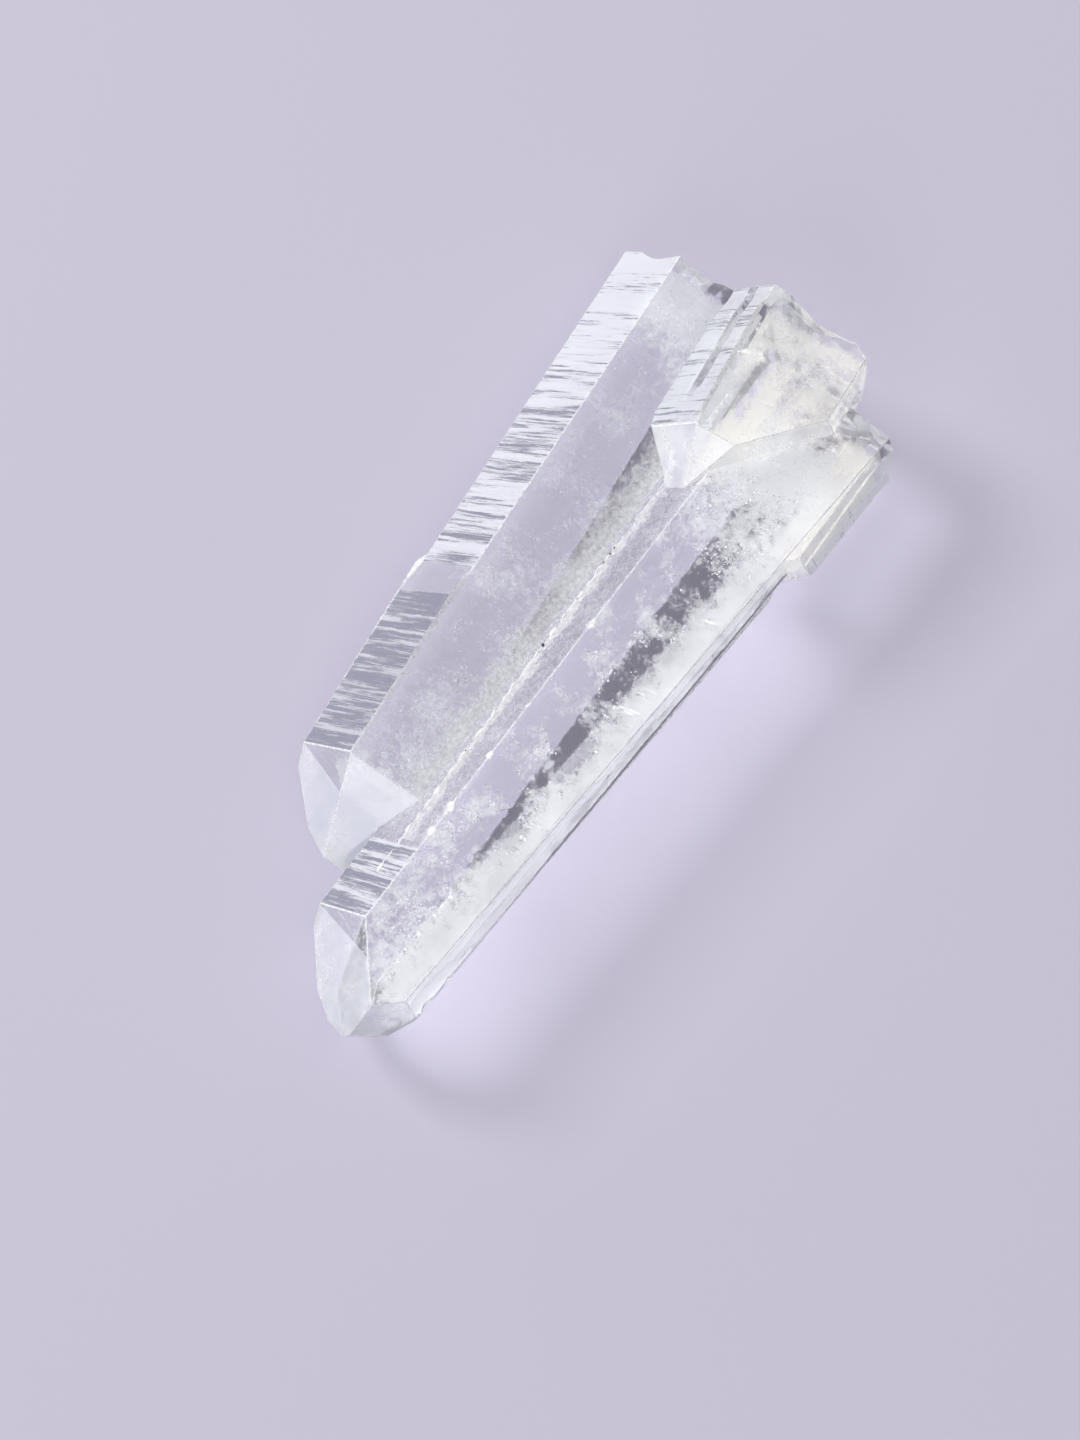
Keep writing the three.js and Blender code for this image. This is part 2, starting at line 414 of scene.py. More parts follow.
def glaze_corner(bm, crystal, face, share):
    """Leaves the corner of a pointed face glassy: the triangle on the edge to its prism face,
    which reaches a share of the way down the edge to the next pointed face."""
    layer = bm.faces.layers.int["kind"]
    start, axis, _ = directions(crystal)
    across = axis.cross(outward(crystal, turn_of(crystal, face)))
    pointed = next(f for f in bm.faces if f[layer] == POINTED_FACE + face)
    low = sorted(pointed.verts, key=lambda v: (v.co - start).dot(axis))[:2]
    near, far = sorted(low, key=lambda v: (v.co - start).dot(across))
    ring = pointed.verts[:]
    at = ring.index(near)
    step = -1 if ring[(at + 1) % len(ring)] == far else 1
    onward = [ring[(at + step * count) % len(ring)] for count in range(1, len(ring))]
    beyond = next(vert for vert in onward if (vert.co - near.co).length > SHORT_EDGE)
    kept, spot = far.co.copy(), near.co.copy()
    border = near.co.lerp(beyond.co, share) - kept
    normal = border.cross(slanted(crystal, turn_of(crystal, face), POINT_SLOPE))
    bmesh.ops.bisect_plane(
        bm, geom=with_borders([pointed]), dist=SNAP, plane_co=kept, plane_no=normal)
    for part in bm.faces:
        if part[layer] == POINTED_FACE + face:
            middle = part.calc_center_median() - kept
            if middle.dot(normal) * (spot - kept).dot(normal) > 0:
                part.material_index = CLEAR


# %% [markdown]
# ### All the steps of one crystal
#
# The corner is glazed while the pointed face is still whole. The lengthwise lines come before the
# slices, so that every slice is cut into the same columns.

# %% One crystal from block to object
def evenly_lined(kind, along):
    return (0.5, 0.8)


def same_finish(kind, along, across):
    return None


def grown(name, crystal, finishes, lines, height, columns=(), worn=(),
          lining=evenly_lined, choose=same_finish, glassy_share=0.0):
    """One crystal: cut, ruled, sliced and lined."""
    bm = cut_crystal(crystal, finishes, worn)
    if glassy_share:
        glaze_corner(bm, crystal, LEFT_STEEP, glassy_share)
    for face, count in columns:
        rule_lengthwise(bm, crystal, face, count)
    slice_across(bm, crystal, uneven_places(**lines))
    raise_slices(bm, crystal, height)
    bmesh.ops.recalc_face_normals(bm, faces=bm.faces[:])
    write_growth_map(bm, crystal, lining)
    refinish(bm, crystal, choose)
    print(name, "has", len(bm.faces), "faces")
    return add_object(name, bm, FINISHES)


# %% [markdown]
# ### The left crystal
#
# Its steep left flank is the white, finely lined one. Two thirds of the way along, a growth
# terrace stands a quarter of a millimetre proud and sinks back into the face towards the tip.
# The ledge below it is smooth and dark. The lines are faint near the broken end.

# %% Left crystal with its terraces
LEFT_LINES = dict(first=0.6, last=33.0, gap=0.13, seed=11)
LINE_DEPTH = 0.075
# The long crystals and the top one are lined on their left faces and glassy on the others.
LINED_LEFT = (CLEAR, CLEAR, CLEAR, CLEAR, STRIATED, STRIATED)


def terrace(along, begin, settle, high, close):
    """A plate that rises between begin and settle, then sinks by close per millimetre."""
    if along < begin:
        return 0.0
    return max(0.0, high * ramp(along, begin, settle) - close * max(0.0, along - settle))


def left_height(face, along, across):
    strength = ramp(along, 1.0, 7.0) * ramp(33.1, along, along + 0.8)
    rise = 0.0
    if face == LEFT_STEEP:
        on_ledge = ramp(along, 21.0, 21.4) * (1 - ramp(along, 22.9, 23.2))
        strength *= 1 - 0.9 * on_ledge
        rise = terrace(along, 21.5, 22.9, 0.27, 0.0225)
        rise += LINE_DEPTH * strength * growth_noise(along, across, 1.0)
    elif face == LEFT_LOW:
        rise = terrace(along, 20.8, 21.6, 0.34, 0.027)
        rise += LINE_DEPTH * 0.8 * strength * growth_noise(along, across, 5.0)
    elif face in (FLANK_DOWN, UNDERSIDE):
        rise = LINE_DEPTH * 0.35 * strength * growth_noise(along, across, 9.0)
    return rise


def left_lining(kind, along):
    """Few lines by the broken end, many from the ledge to the tip, and less pale from the ledge on:
    a painted dark reflection.
    """
    strength = 0.3 + 0.35 * ramp(along, 2.0, 13.0) + 0.35 * ramp(along, 21.0, 24.0)
    # Painted reflection: from the ledge to the tip the face is painted darker, as if it mirrored
    # dark surroundings.
    pale = 0.93 - 0.22 * ramp(along, 20.0, 23.0)
    return strength, pale


def left_choice(kind, along, across):
    """The ledge below the terrace is glassy."""
    return CLEAR if kind == LEFT_STEEP and 21.3 < along < 23.3 else None


left = grown("left_crystal", LEFT, LINED_LEFT, LEFT_LINES, left_height,
             columns=((LEFT_STEEP, 5), (LEFT_LOW, 3)), lining=left_lining, choose=left_choice,
             glassy_share=0.38)

# %% [markdown]
# ### The right crystal
#
# It is longer and broader. Its top is almost perfectly flat. The lines show on its steep left
# face, most of all near the tip, and faintly on the flank.

# %% Right crystal
RIGHT_LINES = dict(first=0.6, last=37.3, gap=0.15, seed=23)


def right_height(face, along, across):
    strength = ramp(along, 1.0, 4.0) * ramp(37.2, along, along + 0.6)
    rise = 0.0
    if face == LEFT_STEEP:
        near_tip = ramp(along, 26.0, 32.0)
        rise = LINE_DEPTH * strength * (0.3 + 0.8 * near_tip) * growth_noise(along, across, 14.0)
    elif face == FLANK_DOWN:
        rise = terrace(along, 10.4, 10.7, 0.19, 0.009)
        rise += LINE_DEPTH * 0.5 * strength * growth_noise(along, across, 17.0)
    elif face == FLANK_UP:
        rise = LINE_DEPTH * 0.3 * strength * growth_noise(along, across, 19.0)
    elif face in (UNDERSIDE, LEFT_LOW):
        rise = LINE_DEPTH * 0.4 * strength * growth_noise(along, across, 21.0)
    return rise


def right_lining(kind, along):
    return 0.9 if along > 33.0 else 0.3, 0.92


def right_choice(kind, along, across):
    """In the groove the left face is frosted. Only its free end near the tip is lined."""
    return FROSTED if kind == LEFT_STEEP and along < 33.3 else None


right = grown("right_crystal", RIGHT, LINED_LEFT, RIGHT_LINES, right_height,
              columns=((LEFT_STEEP, 4), (FLANK_DOWN, 2)), worn=WORN_TIP,
              lining=right_lining, choose=right_choice, glassy_share=0.45)

# %% [markdown]
# ### The short crystal on top
#
# It has two bright ridges on its steep left face, with a groove between them that closes towards
# its tip. The groove could be cut with a boolean, but its floor would need its own growth lines.
# Here the face is ruled into 22 columns, and those in the groove are simply moved less far out.

# %% Top crystal
TOP_LINES = dict(first=0.4, last=8.6, gap=0.16, seed=31)
GROOVE_DEPTH = 0.5
GROOVE_PLACE = 0.95
GROOVE_HALF_WIDTH = 0.42


def top_height(face, along, across):
    strength = ramp(along, 0.4, 2.0) * ramp(8.7, along, along + 0.5)
    rise = 0.0
    if face == LEFT_STEEP:
        groove = 1 - ramp(abs(across - GROOVE_PLACE), GROOVE_HALF_WIDTH / 2, GROOVE_HALF_WIDTH)
        rise = 0.2 * strength - GROOVE_DEPTH * groove * (1 - ramp(along, 5.5, 8.0))
        rise *= ramp(along, 0.4, 1.2)
        rise += LINE_DEPTH * 0.6 * strength * growth_noise(along, across, 25.0)
    return rise


def top_choice(kind, along, across):
    """The groove's floor is glassy."""
    in_groove = kind == LEFT_STEEP and abs(across - GROOVE_PLACE) < GROOVE_HALF_WIDTH
    return CLEAR if in_groove and along < 6.5 else None


top = grown("top_crystal", TOP, LINED_LEFT, TOP_LINES, top_height,
            columns=((LEFT_STEEP, 22),), choose=top_choice)

# %% [markdown]
# ### The two blades on the flank
#
# Thin crystals that grow side by side leave long ribs with glassy grooves between them. The ribs
# are cut in the same way as the groove above. They stay clear of the face's edges, where a corner
# that is moved inwards would cross the next face and spoil the fusing.

# %% Flank crystals
FLANK_LINES = dict(first=0.5, last=6.4, gap=0.2, seed=37)
FLANK_FINISHES = (CLEAR, STRIATED, CLEAR, CLEAR, CLEAR, STRIATED)
RIB_TURN = 12.0
RIB_HEIGHT = 0.1
RIBBED = ((FLANK_UP, 14),)


def blade_groove(across):
    """1 in the long grooves that part a blade's face into ribs, 0 on a rib and by the edges."""
    inner = 1 - ramp(abs(across), 0.34, 0.52)
    return inner * ramp(math.cos(RIB_TURN * across), 0.2, 0.8)


def flank_height(face, along, across):
    rise = LINE_DEPTH * 0.5 * growth_noise(along, across, 29.0 + face)
    if face == FLANK_UP:
        rise -= RIB_HEIGHT * blade_groove(across) * ramp(along, 0.4, 1.5)
    return rise


def blade_lining(kind, along):
    return 0.22, 0.9


def blade_choice(kind, along, across):
    """The grooves are glassy."""
    return CLEAR if kind == FLANK_UP and blade_groove(across) > 0.4 else None


blades = [grown(name, crystal, FLANK_FINISHES, FLANK_LINES, flank_height, columns=RIBBED,
                lining=blade_lining, choose=blade_choice)
          for name, crystal in (("flank_upper", FLANK_UPPER), ("flank_lower", FLANK_LOWER))]

# %% [markdown]
# ## Growing them together
#
# Crystals that grow together share one body, and light must not meet a wall inside it. So they
# are fused with exact booleans rather than left crossing each other. Every mesh has the same
# six materials in the same order, so a face keeps its finish through the join.

# %% Fusing
def combine(target, tool, operation):
    """Applies one boolean to target and removes the tool."""
    boolean = target.modifiers.new("boolean", "BOOLEAN")
    boolean.operation = operation
    boolean.object = tool
    boolean.solver = "EXACT"
    boolean.material_mode = "INDEX"
    solved = bpy.data.meshes.new_from_object(
        target.evaluated_get(bpy.context.evaluated_depsgraph_get()))
    target.modifiers.clear()
    used = target.data
    target.data = solved
    bpy.data.meshes.remove(used)
    tool_mesh = tool.data
    bpy.data.objects.remove(tool)
    bpy.data.meshes.remove(tool_mesh)


body = left
for other in (right, top, *blades):
    combine(body, other, "UNION")
print("fused body has", len(body.data.polygons), "faces")

# %% [markdown]
# ## The broken end and the chips
#
# Quartz has no cleavage, so it snaps in shells: smooth hollows with rings round the point of
# impact. They could be sculpted, but a boolean gives a crisp rim. Each hollow is bitten out by a
# ball whose skin has those rings, and each ball is turned its own way.

# %% Shell-shaped bites
BROKEN_END = (
    ((-29.9, -7.4, 3.4), 6.2), ((-29.0, -2.8, 1.6), 5.0), ((-29.6, 1.2, 7.2), 5.6),
    ((-28.3, 5.4, 6.2), 4.6), ((-27.3, 2.9, 2.2), 6.2), ((-25.9, 7.9, 3.6), 4.6),
)
RING_HEIGHT = 0.05
RING_COUNT = 26
ROUGHNESS = 0.12


def biting_ball(centre, radius, number):
    bm = bmesh.new()
    bmesh.ops.create_uvsphere(bm, u_segments=44, v_segments=60, radius=radius)
    for vert in bm.verts:
        off_pole = math.acos(max(-1.0, min(1.0, vert.co.z / radius)))
        ring = RING_HEIGHT * math.sin(RING_COUNT * off_pole + number)
        rough = ROUGHNESS * noise.noise(vert.co * 0.5 + Vector((number * 7.0, 0, 0)))
        vert.co *= 1 + (ring + rough) / radius
    tilt = Matrix.Rotation(math.radians(70 + 25 * number), 4, "X")
    bmesh.ops.transform(bm, matrix=Matrix.Translation(centre) @ tilt, verts=bm.verts[:])
    for face in bm.faces:
        face.material_index = BROKEN
    return add_object(f"bite_{number}", bm, FINISHES)


for number, (centre, radius) in enumerate(BROKEN_END):
    combine(body, biting_ball(centre, radius, number), "DIFFERENCE")
print(len(BROKEN_END), "hollows leave", len(body.data.polygons), "faces")

# %% [markdown]
# ### Chips
#
# A knock takes a small white chip out of an edge. The chips are bitten out by little rough balls,
# all in one mesh, so the slow boolean runs only once for them.

# %% Chips along the edges
CHIPS = (
    ((8.6, 0.2, 7.08), 0.45), ((10.2, 0.15, 7.06), 0.42), ((-3.6, 0.5, 7.15), 0.42),
    ((5.2, 0.28, 7.1), 0.36), ((17.2, 5.45, 4.45), 0.75), ((15.6, 5.35, 4.4), 0.45),
    ((11.7, 0.12, 7.05), 0.3), ((1.9, 0.36, 7.12), 0.3), ((6.6, 0.25, 7.1), 0.26),
)
chips = bmesh.new()
for number, (centre, radius) in enumerate(CHIPS):
    made = bmesh.ops.create_icosphere(chips, subdivisions=2, radius=radius)
    for vert in made["verts"]:
        vert.co *= 1 + 0.25 * noise.noise(vert.co * (1.4 / radius) + Vector((0, number * 5.0, 0)))
    bmesh.ops.translate(chips, vec=centre, verts=made["verts"])
for face in chips.faces:
    face.material_index = EDGE_SHEEN_AND_CHIPS
combine(body, add_object("chips", chips, FINISHES), "DIFFERENCE")
print(len(CHIPS), "chips leave", len(body.data.polygons), "faces")

# %% [markdown]
# ### The flats below
#
# A loose stone has worn flats on its lowest edges, and rests on them. One big block below the
# floor takes off whatever reaches under it.

# %% The two flats that it rests on
floor_cutter = bmesh.new()
bmesh.ops.create_cube(floor_cutter, size=BLOCK_SIZE)
bmesh.ops.translate(floor_cutter, vec=(0, 0, -BLOCK_SIZE / 2), verts=floor_cutter.verts[:])
combine(body, add_object("floor_cutter", floor_cutter, FINISHES), "DIFFERENCE")
print("bitten body has", len(body.data.polygons), "faces")

# %% [markdown]
# ## From the bench to the frame
#
# The body is shrunk to metres and set so that its box has the same middle across the floor as
# the frame's node; its height stays as it was cut.
# The move goes into the mesh, and the object stays at the origin. Everything that is made later
# takes the same move, so it stays where it was built inside the stone.

# %% Shrinking and placing
MERGE_DISTANCE = 1e-4
low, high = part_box("quartz_point")
corners = [vert.co for vert in body.data.vertices]
middle = [(min(c[i] for c in corners) + max(c[i] for c in corners)) / 2 for i in range(2)]
SHIFT = Vector((*((low[i] + high[i]) / 2 / MM - middle[i] for i in range(2)), 0))
TO_FRAME = Matrix.Scale(MM, 4) @ Matrix.Translation(SHIFT)
print("shift in millimetres:", tuple(round(value, 3) for value in SHIFT))
finished = bmesh.new()
finished.from_mesh(body.data)
bmesh.ops.remove_doubles(finished, verts=finished.verts[:], dist=MERGE_DISTANCE)
bmesh.ops.dissolve_degenerate(finished, edges=finished.edges[:], dist=MERGE_DISTANCE)
bmesh.ops.transform(finished, matrix=TO_FRAME, verts=finished.verts[:])
finished.to_mesh(body.data)
finished.free()
body.name = "crystal_body"
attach(body, "root")
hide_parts("quartz_point")

# %% [markdown]
# ### Placing the rest
#
# The cloud, the seam and the flakes are features of the same stone, so they ride with it. Each is
# finished at bench size, takes the same move and only then becomes an object.

# %% Placing what is made later
def settle(name, bm, materials, shades=True):
    """Moves a finished bench model into the frame and lets it ride on the stone."""
    bmesh.ops.transform(bm, matrix=TO_FRAME, verts=bm.verts[:])
    print(name, "has", len(bm.faces), "faces")
    piece = add_object(name, bm, materials)
    piece.visible_shadow = shades
    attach(piece, "root")


# %% [markdown]
# ## Places inside a crystal
#
# Everything inside the stone is laid out from its faces: so far along, so far across, so far
# below the skin. A place that would come too close to another face is pushed back inside.

# %% Finding places under the skin
def under_face(crystal, face, along, across, depth):
    """The place so far along and across a prism face, and so far below it."""
    start, axis, _ = directions(crystal)
    out = outward(crystal, turn_of(crystal, face))
    return (start + axis * along + axis.cross(out) * across
            + out * (half_width(crystal, face, along) - depth))


PUSHES = 3


def clearances(crystal, place):
    """How far a place is inside each prism face, then inside the pointed faces."""
    start, axis, _ = directions(crystal)
    offset = place - start
    along = offset.dot(axis)
    gaps = [half_width(crystal, face, along) - offset.dot(outward(crystal, turn_of(crystal, face)))
            for face in range(SIDES)]
    for face, reach in enumerate(crystal["reach"]):
        if reach:
            normal = slanted(crystal, turn_of(crystal, face), POINT_SLOPE)
            gaps.append((start + axis * reach - place).dot(normal))
    return gaps


def pushed_inside(crystal, place, margin):
    """The place, moved until it is a margin inside every face. One push can undo another."""
    start, axis, _ = directions(crystal)
    for _ in range(PUSHES):
        along = (place - start).dot(axis)
        for face in range(SIDES):
            out = outward(crystal, turn_of(crystal, face))
            excess = (place - start).dot(out) + margin - half_width(crystal, face, along)
            place = place - out * max(0.0, excess)
        for face, reach in enumerate(crystal["reach"]):
            if reach:
                normal = slanted(crystal, turn_of(crystal, face), POINT_SLOPE)
                excess = (place - start - axis * reach).dot(normal) + margin
                place = place - normal * max(0.0, excess)
    return place


deep = under_face(LEFT, TOP_FACE, 10.0, 0.0, 1.0)
print("1 mm under the top face, the faces are", [round(gap, 1) for gap in clearances(LEFT, deep)])

# %% [markdown]
# ## Milky veils
#
# A veil is a healed crack full of tiny bubbles. It shows as a thin cloudy sheet with ragged
# borders. Each is a grid laid under a face, gently warped, with its thickness of cloud painted
# at every corner as an attribute. The finish breaks that up with fine noise. Several sheets one
# below another read as a cloud.

# %% The sheet maker
VEIL_MARGIN = 0.12
FADE_SHARE = 0.06


def veil_mesh():
    bm = bmesh.new()
    bm.verts.layers.float.new("cloudiness")
    return bm


def spread_grid(bm, alongs, acrosses, columns, rows):
    """A flat grid, and with each corner its place along and across."""
    made = bmesh.ops.create_grid(bm, x_segments=columns, y_segments=rows, size=0.5)
    for vert in made["verts"]:
        along = alongs[0] + (alongs[1] - alongs[0]) * (vert.co.x + 0.5)
        across = acrosses[0] + (acrosses[1] - acrosses[0]) * (vert.co.y + 0.5)
        yield vert, along, across


def lay_veil(bm, crystal, depth, alongs, acrosses, density, seed, warp=0.25, step=0.35):
    """Adds one sheet under a top face. density(along, across, gaps) gives 0 to 1 at each corner."""
    layer = bm.verts.layers.float["cloudiness"]
    columns = max(2, round((alongs[1] - alongs[0]) / step))
    rows = max(2, round((acrosses[1] - acrosses[0]) / step))
    for vert, along, across in spread_grid(bm, alongs, acrosses, columns, rows):
        sway = warp * noise.noise(Vector((along * 0.35, across * 0.35, seed)))
        place = under_face(crystal, TOP_FACE, along, across, depth + sway)
        gaps = clearances(crystal, place)
        fade = min(ramp(vert.co.x + 0.5, 0, FADE_SHARE), ramp(0.5 - vert.co.x, 0, FADE_SHARE))
        vert[layer] = density(along, across, gaps) * fade if min(gaps) > VEIL_MARGIN / 2 else 0.0
        vert.co = pushed_inside(crystal, place, VEIL_MARGIN)


def lay_stack(bm, crystal, depths, alongs, acrosses, density, seed, **sheet):
    """Several sheets, one below another, each with its own warp."""
    for number, depth in enumerate(depths):
        lay_veil(bm, crystal, depth, alongs, acrosses, density, seed + 3.0 * number, **sheet)


print("cloud keeps", VEIL_MARGIN, "mm inside the skin")

# %% [markdown]
# ### Veils of the right crystal
#
# A white band runs just inside the right flank from the tip to the base, bright at the edge and
# ragged inwards. Near the base the whole crystal clouds over, and the tip holds a patchy cloud on
# its flank side. Elsewhere there are only thin wisps. The thickest of the four wins at each place.

# %% Cloud of the right crystal
def ragged(along, across, seed, size=1.0):
    """Noise with three sizes of detail, for borders that fray."""
    spot = Vector((along / size, across / size, seed))
    return noise.noise(spot * 0.6) + 0.5 * noise.noise(spot * 1.7) + 0.25 * noise.noise(spot * 4.1)


def right_band(along, across, gaps):
    edge = 1 - ramp(gaps[FLANK_UP] + 0.9 * ragged(along, across, 3.0), 0.5, 2.3)
    return edge * ramp(along, 1.0, 3.0)


def right_base(along, across, gaps):
    return (1 - ramp(along + 3.0 * ragged(along, across, 8.0, 1.6), 5.0, 15.0)) * 0.8


def right_tip(along, across, gaps):
    near = ramp(along + 2.0 * ragged(along, across, 12.0), 30.0, 35.5)
    patchy = 0.7 + 0.5 * ragged(along, across, 14.0)
    away = ramp(gaps[FLANK_UP] + 0.7 * ragged(along, across, 13.0), 1.6, 3.6)
    return near * patchy * (1 - 0.92 * away)


def right_cloud(along, across, gaps):
    wisps = 0.2 + 0.62 * ragged(along, across, 17.0, 1.0)
    return max(right_band(along, across, gaps), right_base(along, across, gaps),
               right_tip(along, across, gaps), min(0.45, max(0.0, wisps)))


white_veils = veil_mesh()
lay_stack(white_veils, RIGHT, (0.22, 0.7, 1.4, 2.3), (1.5, 42.0), (-4.2, 2.6), right_cloud, 0.0)
print("white cloud so far:", len(white_veils.faces), "faces")

# %% [markdown]
# ### Veils of the left crystal
#
# It is the clearest of the five: a few wisps in the middle and more by the broken end. Beside the
# groove lie stacked white sheets that are painted light: they stand in for the light that passes
# through the stone onto the groove's wall. A finish on the wall itself would stay grey, as the wall
# faces away from the lamps, but sheets that lie level under the top face catch the light.

# %% Wisps of the left crystal
# Painted light: white sheets beside the groove that stand in for light reaching its wall through
# the stone.
def groove_painted_light(along, across, gaps):
    return 0.95 * (1 - ramp(gaps[FLANK_UP] + 0.5 * ragged(along, across, 36.0), 0.9, 2.5))


def left_wisps(along, across, gaps):
    wisps = 0.22 + 0.5 * ragged(along, across, 31.0, 1.2)
    to_tip = 0.35 * ramp(along, 18.0, 34.0)
    beside_seam = 0.75 * (1 - ramp(gaps[FLANK_UP] + 0.5 * ragged(along, across, 33.0), 0.1, 0.9))
    base = 0.5 * (1 - ramp(along + 1.5 * ragged(along, across, 35.0), 2.5, 7.5))
    return max(0.0, wisps * 0.8 + to_tip * 0.3, beside_seam, base)


wisps_and_groove_light = veil_mesh()
lay_stack(wisps_and_groove_light, LEFT, (0.2, 0.9, 2.0), (1.0, 34.5), (-3.4, 2.6), left_wisps, 40)
lay_stack(wisps_and_groove_light, LEFT, (0.3, 0.7, 1.1, 1.5, 1.9, 2.4), (2.0, 35.0), (-4.6, -0.4),
          groove_painted_light, 44, warp=0.15)
print("wisps:", len(wisps_and_groove_light.faces), "faces")

# %% [markdown]
# ### White cloud at both ends of the left crystal
#
# Its broken end and its tip are whiter than the wisps, as white as the right crystal's cloud. So
# these sheets join that piece and take its finish.

# %% More white cloud
def left_base(along, across, gaps):
    return 0.95 * (1 - ramp(along + 2.2 * ragged(along, across, 47.0, 1.2), 2.0, 7.0))


def left_tip(along, across, gaps):
    return 0.9 * ramp(along + 0.8 * ragged(along, across, 38.0, 0.6), 31.5, 34.5)


lay_stack(white_veils, LEFT, (0.3, 1.1), (0.8, 8.0), (-3.4, 2.6), left_base, 50)
lay_stack(white_veils, LEFT, (0.5, 1.4), (30.0, 36.5), (-2.8, 2.4), left_tip, 52, step=0.25)
print("white cloud in all:", len(white_veils.faces), "faces")

# %% [markdown]
# ### Warm cloud at the root
#
# Where the crystals were attached the stone is crowded with cloud, a little creamy. It also fills
# the top crystal's tip and the blades. At the top crystal's tip the cloud is partly real and partly
# painted light, thickened to stand in for the light that falls on the tip from the left. A warm
# tint on the glass would colour the windows too, so the warmth is in the cloud alone.

# %% Cream cloud
def top_cloud(along, across, gaps):
    to_tip = ramp(along + 0.8 * ragged(along, across, 57.0, 0.8), 5.5, 8.0)
    beside_ridge = 1 - ramp(abs(across - 0.2) + 0.5 * ragged(along, across, 58.0, 0.7), 0.3, 0.9)
    return max(0.8 * to_tip, 0.9 * beside_ridge * ramp(along, 2.5, 5.0))


# Partly painted light: the tip's thick cloud is real milky cloud, thickened to stand in for the
# light that falls on the tip from the left.
def top_tip(along, across, gaps):
    return ramp(along + 0.6 * ragged(along, across, 59.0, 0.8), 6.8, 8.6)


def root_cloud(along, across, gaps):
    beside_flank = 0.3 * (1 - ramp(gaps[FLANK_UP], 0.5, 3.0))
    return max(0.0, 0.8 - 0.09 * along + beside_flank + 0.6 * ragged(along, across, 51.0, 1.4))


def blade_cloud(along, across, gaps):
    return 0.85 + 0.3 * ragged(along, across, 53.0, 0.8)


cream_veils = veil_mesh()
lay_stack(cream_veils, TOP, (0.3, 0.8, 1.5), (1.5, 10.5), (-2.6, 1.6), top_cloud, 55, step=0.25)
lay_stack(cream_veils, TOP, (0.55, 1.1, 1.9, 2.6), (6.0, 12.0), (-2.4, 1.8), top_tip, 85,
          warp=0.15, step=0.25)
lay_stack(cream_veils, TOP, (0.5, 1.3, 2.4), (1.0, 9.0), (-3.6, 2.4), root_cloud, 60)
lay_stack(cream_veils, RIGHT, (1.0, 2.6), (0.8, 11.0), (-4.2, 2.4), root_cloud, 70)
for seed, crystal in ((80.0, FLANK_UPPER), (83.0, FLANK_LOWER)):
    for depth in (0.25, 0.6, 1.0):
        lay_veil(cream_veils, crystal, depth, (0.8, 9.0), (-1.1, 1.0), blade_cloud, seed + depth,
                 warp=0.1, step=0.2)
print("cream cloud:", len(cream_veils.faces), "faces")

# %% [markdown]
# ## Flakes and specks
#
# Where a veil frays out it shows as single bright flecks and a few dark ones. They are tiny
# five-sided flakes. One is made by the circle operator and stamped at each spot. Spots are
# thrown at random and kept where the cloud is neither full nor absent.

# %% The stamp for a flake
FLAKE_SIDES = 5


def stamp_mesh():
    bm = bmesh.new()
    bmesh.ops.create_circle(bm, cap_ends=True, segments=FLAKE_SIDES, radius=1.0)
    stamp = bpy.data.meshes.new("flake_stamp")
    bm.to_mesh(stamp)
    bm.free()
    return stamp


STAMP = stamp_mesh()


def stamp_flake(bm, dice, place, size):
    """Stamps one flake, turned and squeezed by chance."""
    first = len(bm.verts)
    bm.from_mesh(STAMP)
    bm.verts.ensure_lookup_table()
    turn = Matrix.Rotation(dice.uniform(0, math.tau), 4, Vector(
        (dice.gauss(0, 1), dice.gauss(0, 1), dice.gauss(0, 1))).normalized())
    squeeze = Matrix.Diagonal((size, size * dice.uniform(0.35, 1.0), size, 1))
    placing = Matrix.Translation(place) @ turn @ squeeze
    for index in range(first, first + FLAKE_SIDES):
        bm.verts[index].co = placing @ bm.verts[index].co


print("a flake has", len(STAMP.vertices), "corners")

# %% [markdown]
# ### Throwing them where a cloud frays
#
# Flakes spread evenly would look like dust. They gather in clumps, where the cloud thins out, so
# each throw is kept with a chance that follows the cloud, times a clump noise. The dice have a
# fixed seed, so the stone is the same in every run.

# %% Throwing flakes
FLAKE_MARGIN = 0.1


def throw_flakes(bm, crystal, count, depths, alongs, acrosses, likely, sizes, seed):
    """Keeps count flakes, each where the dice beat likely(along, across, gaps)."""
    dice = random.Random(seed)
    kept = 0
    while kept < count:
        along, across = dice.uniform(*alongs), dice.uniform(*acrosses)
        place = under_face(crystal, TOP_FACE, along, across, dice.uniform(*depths))
        gaps = clearances(crystal, place)
        if min(gaps) >= FLAKE_MARGIN and dice.random() <= likely(along, across, gaps):
            kept += 1
            stamp_flake(bm, dice, place, dice.uniform(*sizes))


def right_fray(along, across, gaps):
    """Highest where the right crystal's cloud is neither full nor absent."""
    clump = ramp(ragged(along, across, 91.0, 0.7), 0.0, 0.35)
    return max(0.0, 1 - abs(right_cloud(along, across, gaps) - 0.5) / 0.35) * clump


def left_fray(along, across, gaps):
    clump = ramp(ragged(along, across, 95.0, 0.6), 0.1, 0.45)
    return clump * (0.25 + 0.75 * ramp(along, 12.0, 30.0))


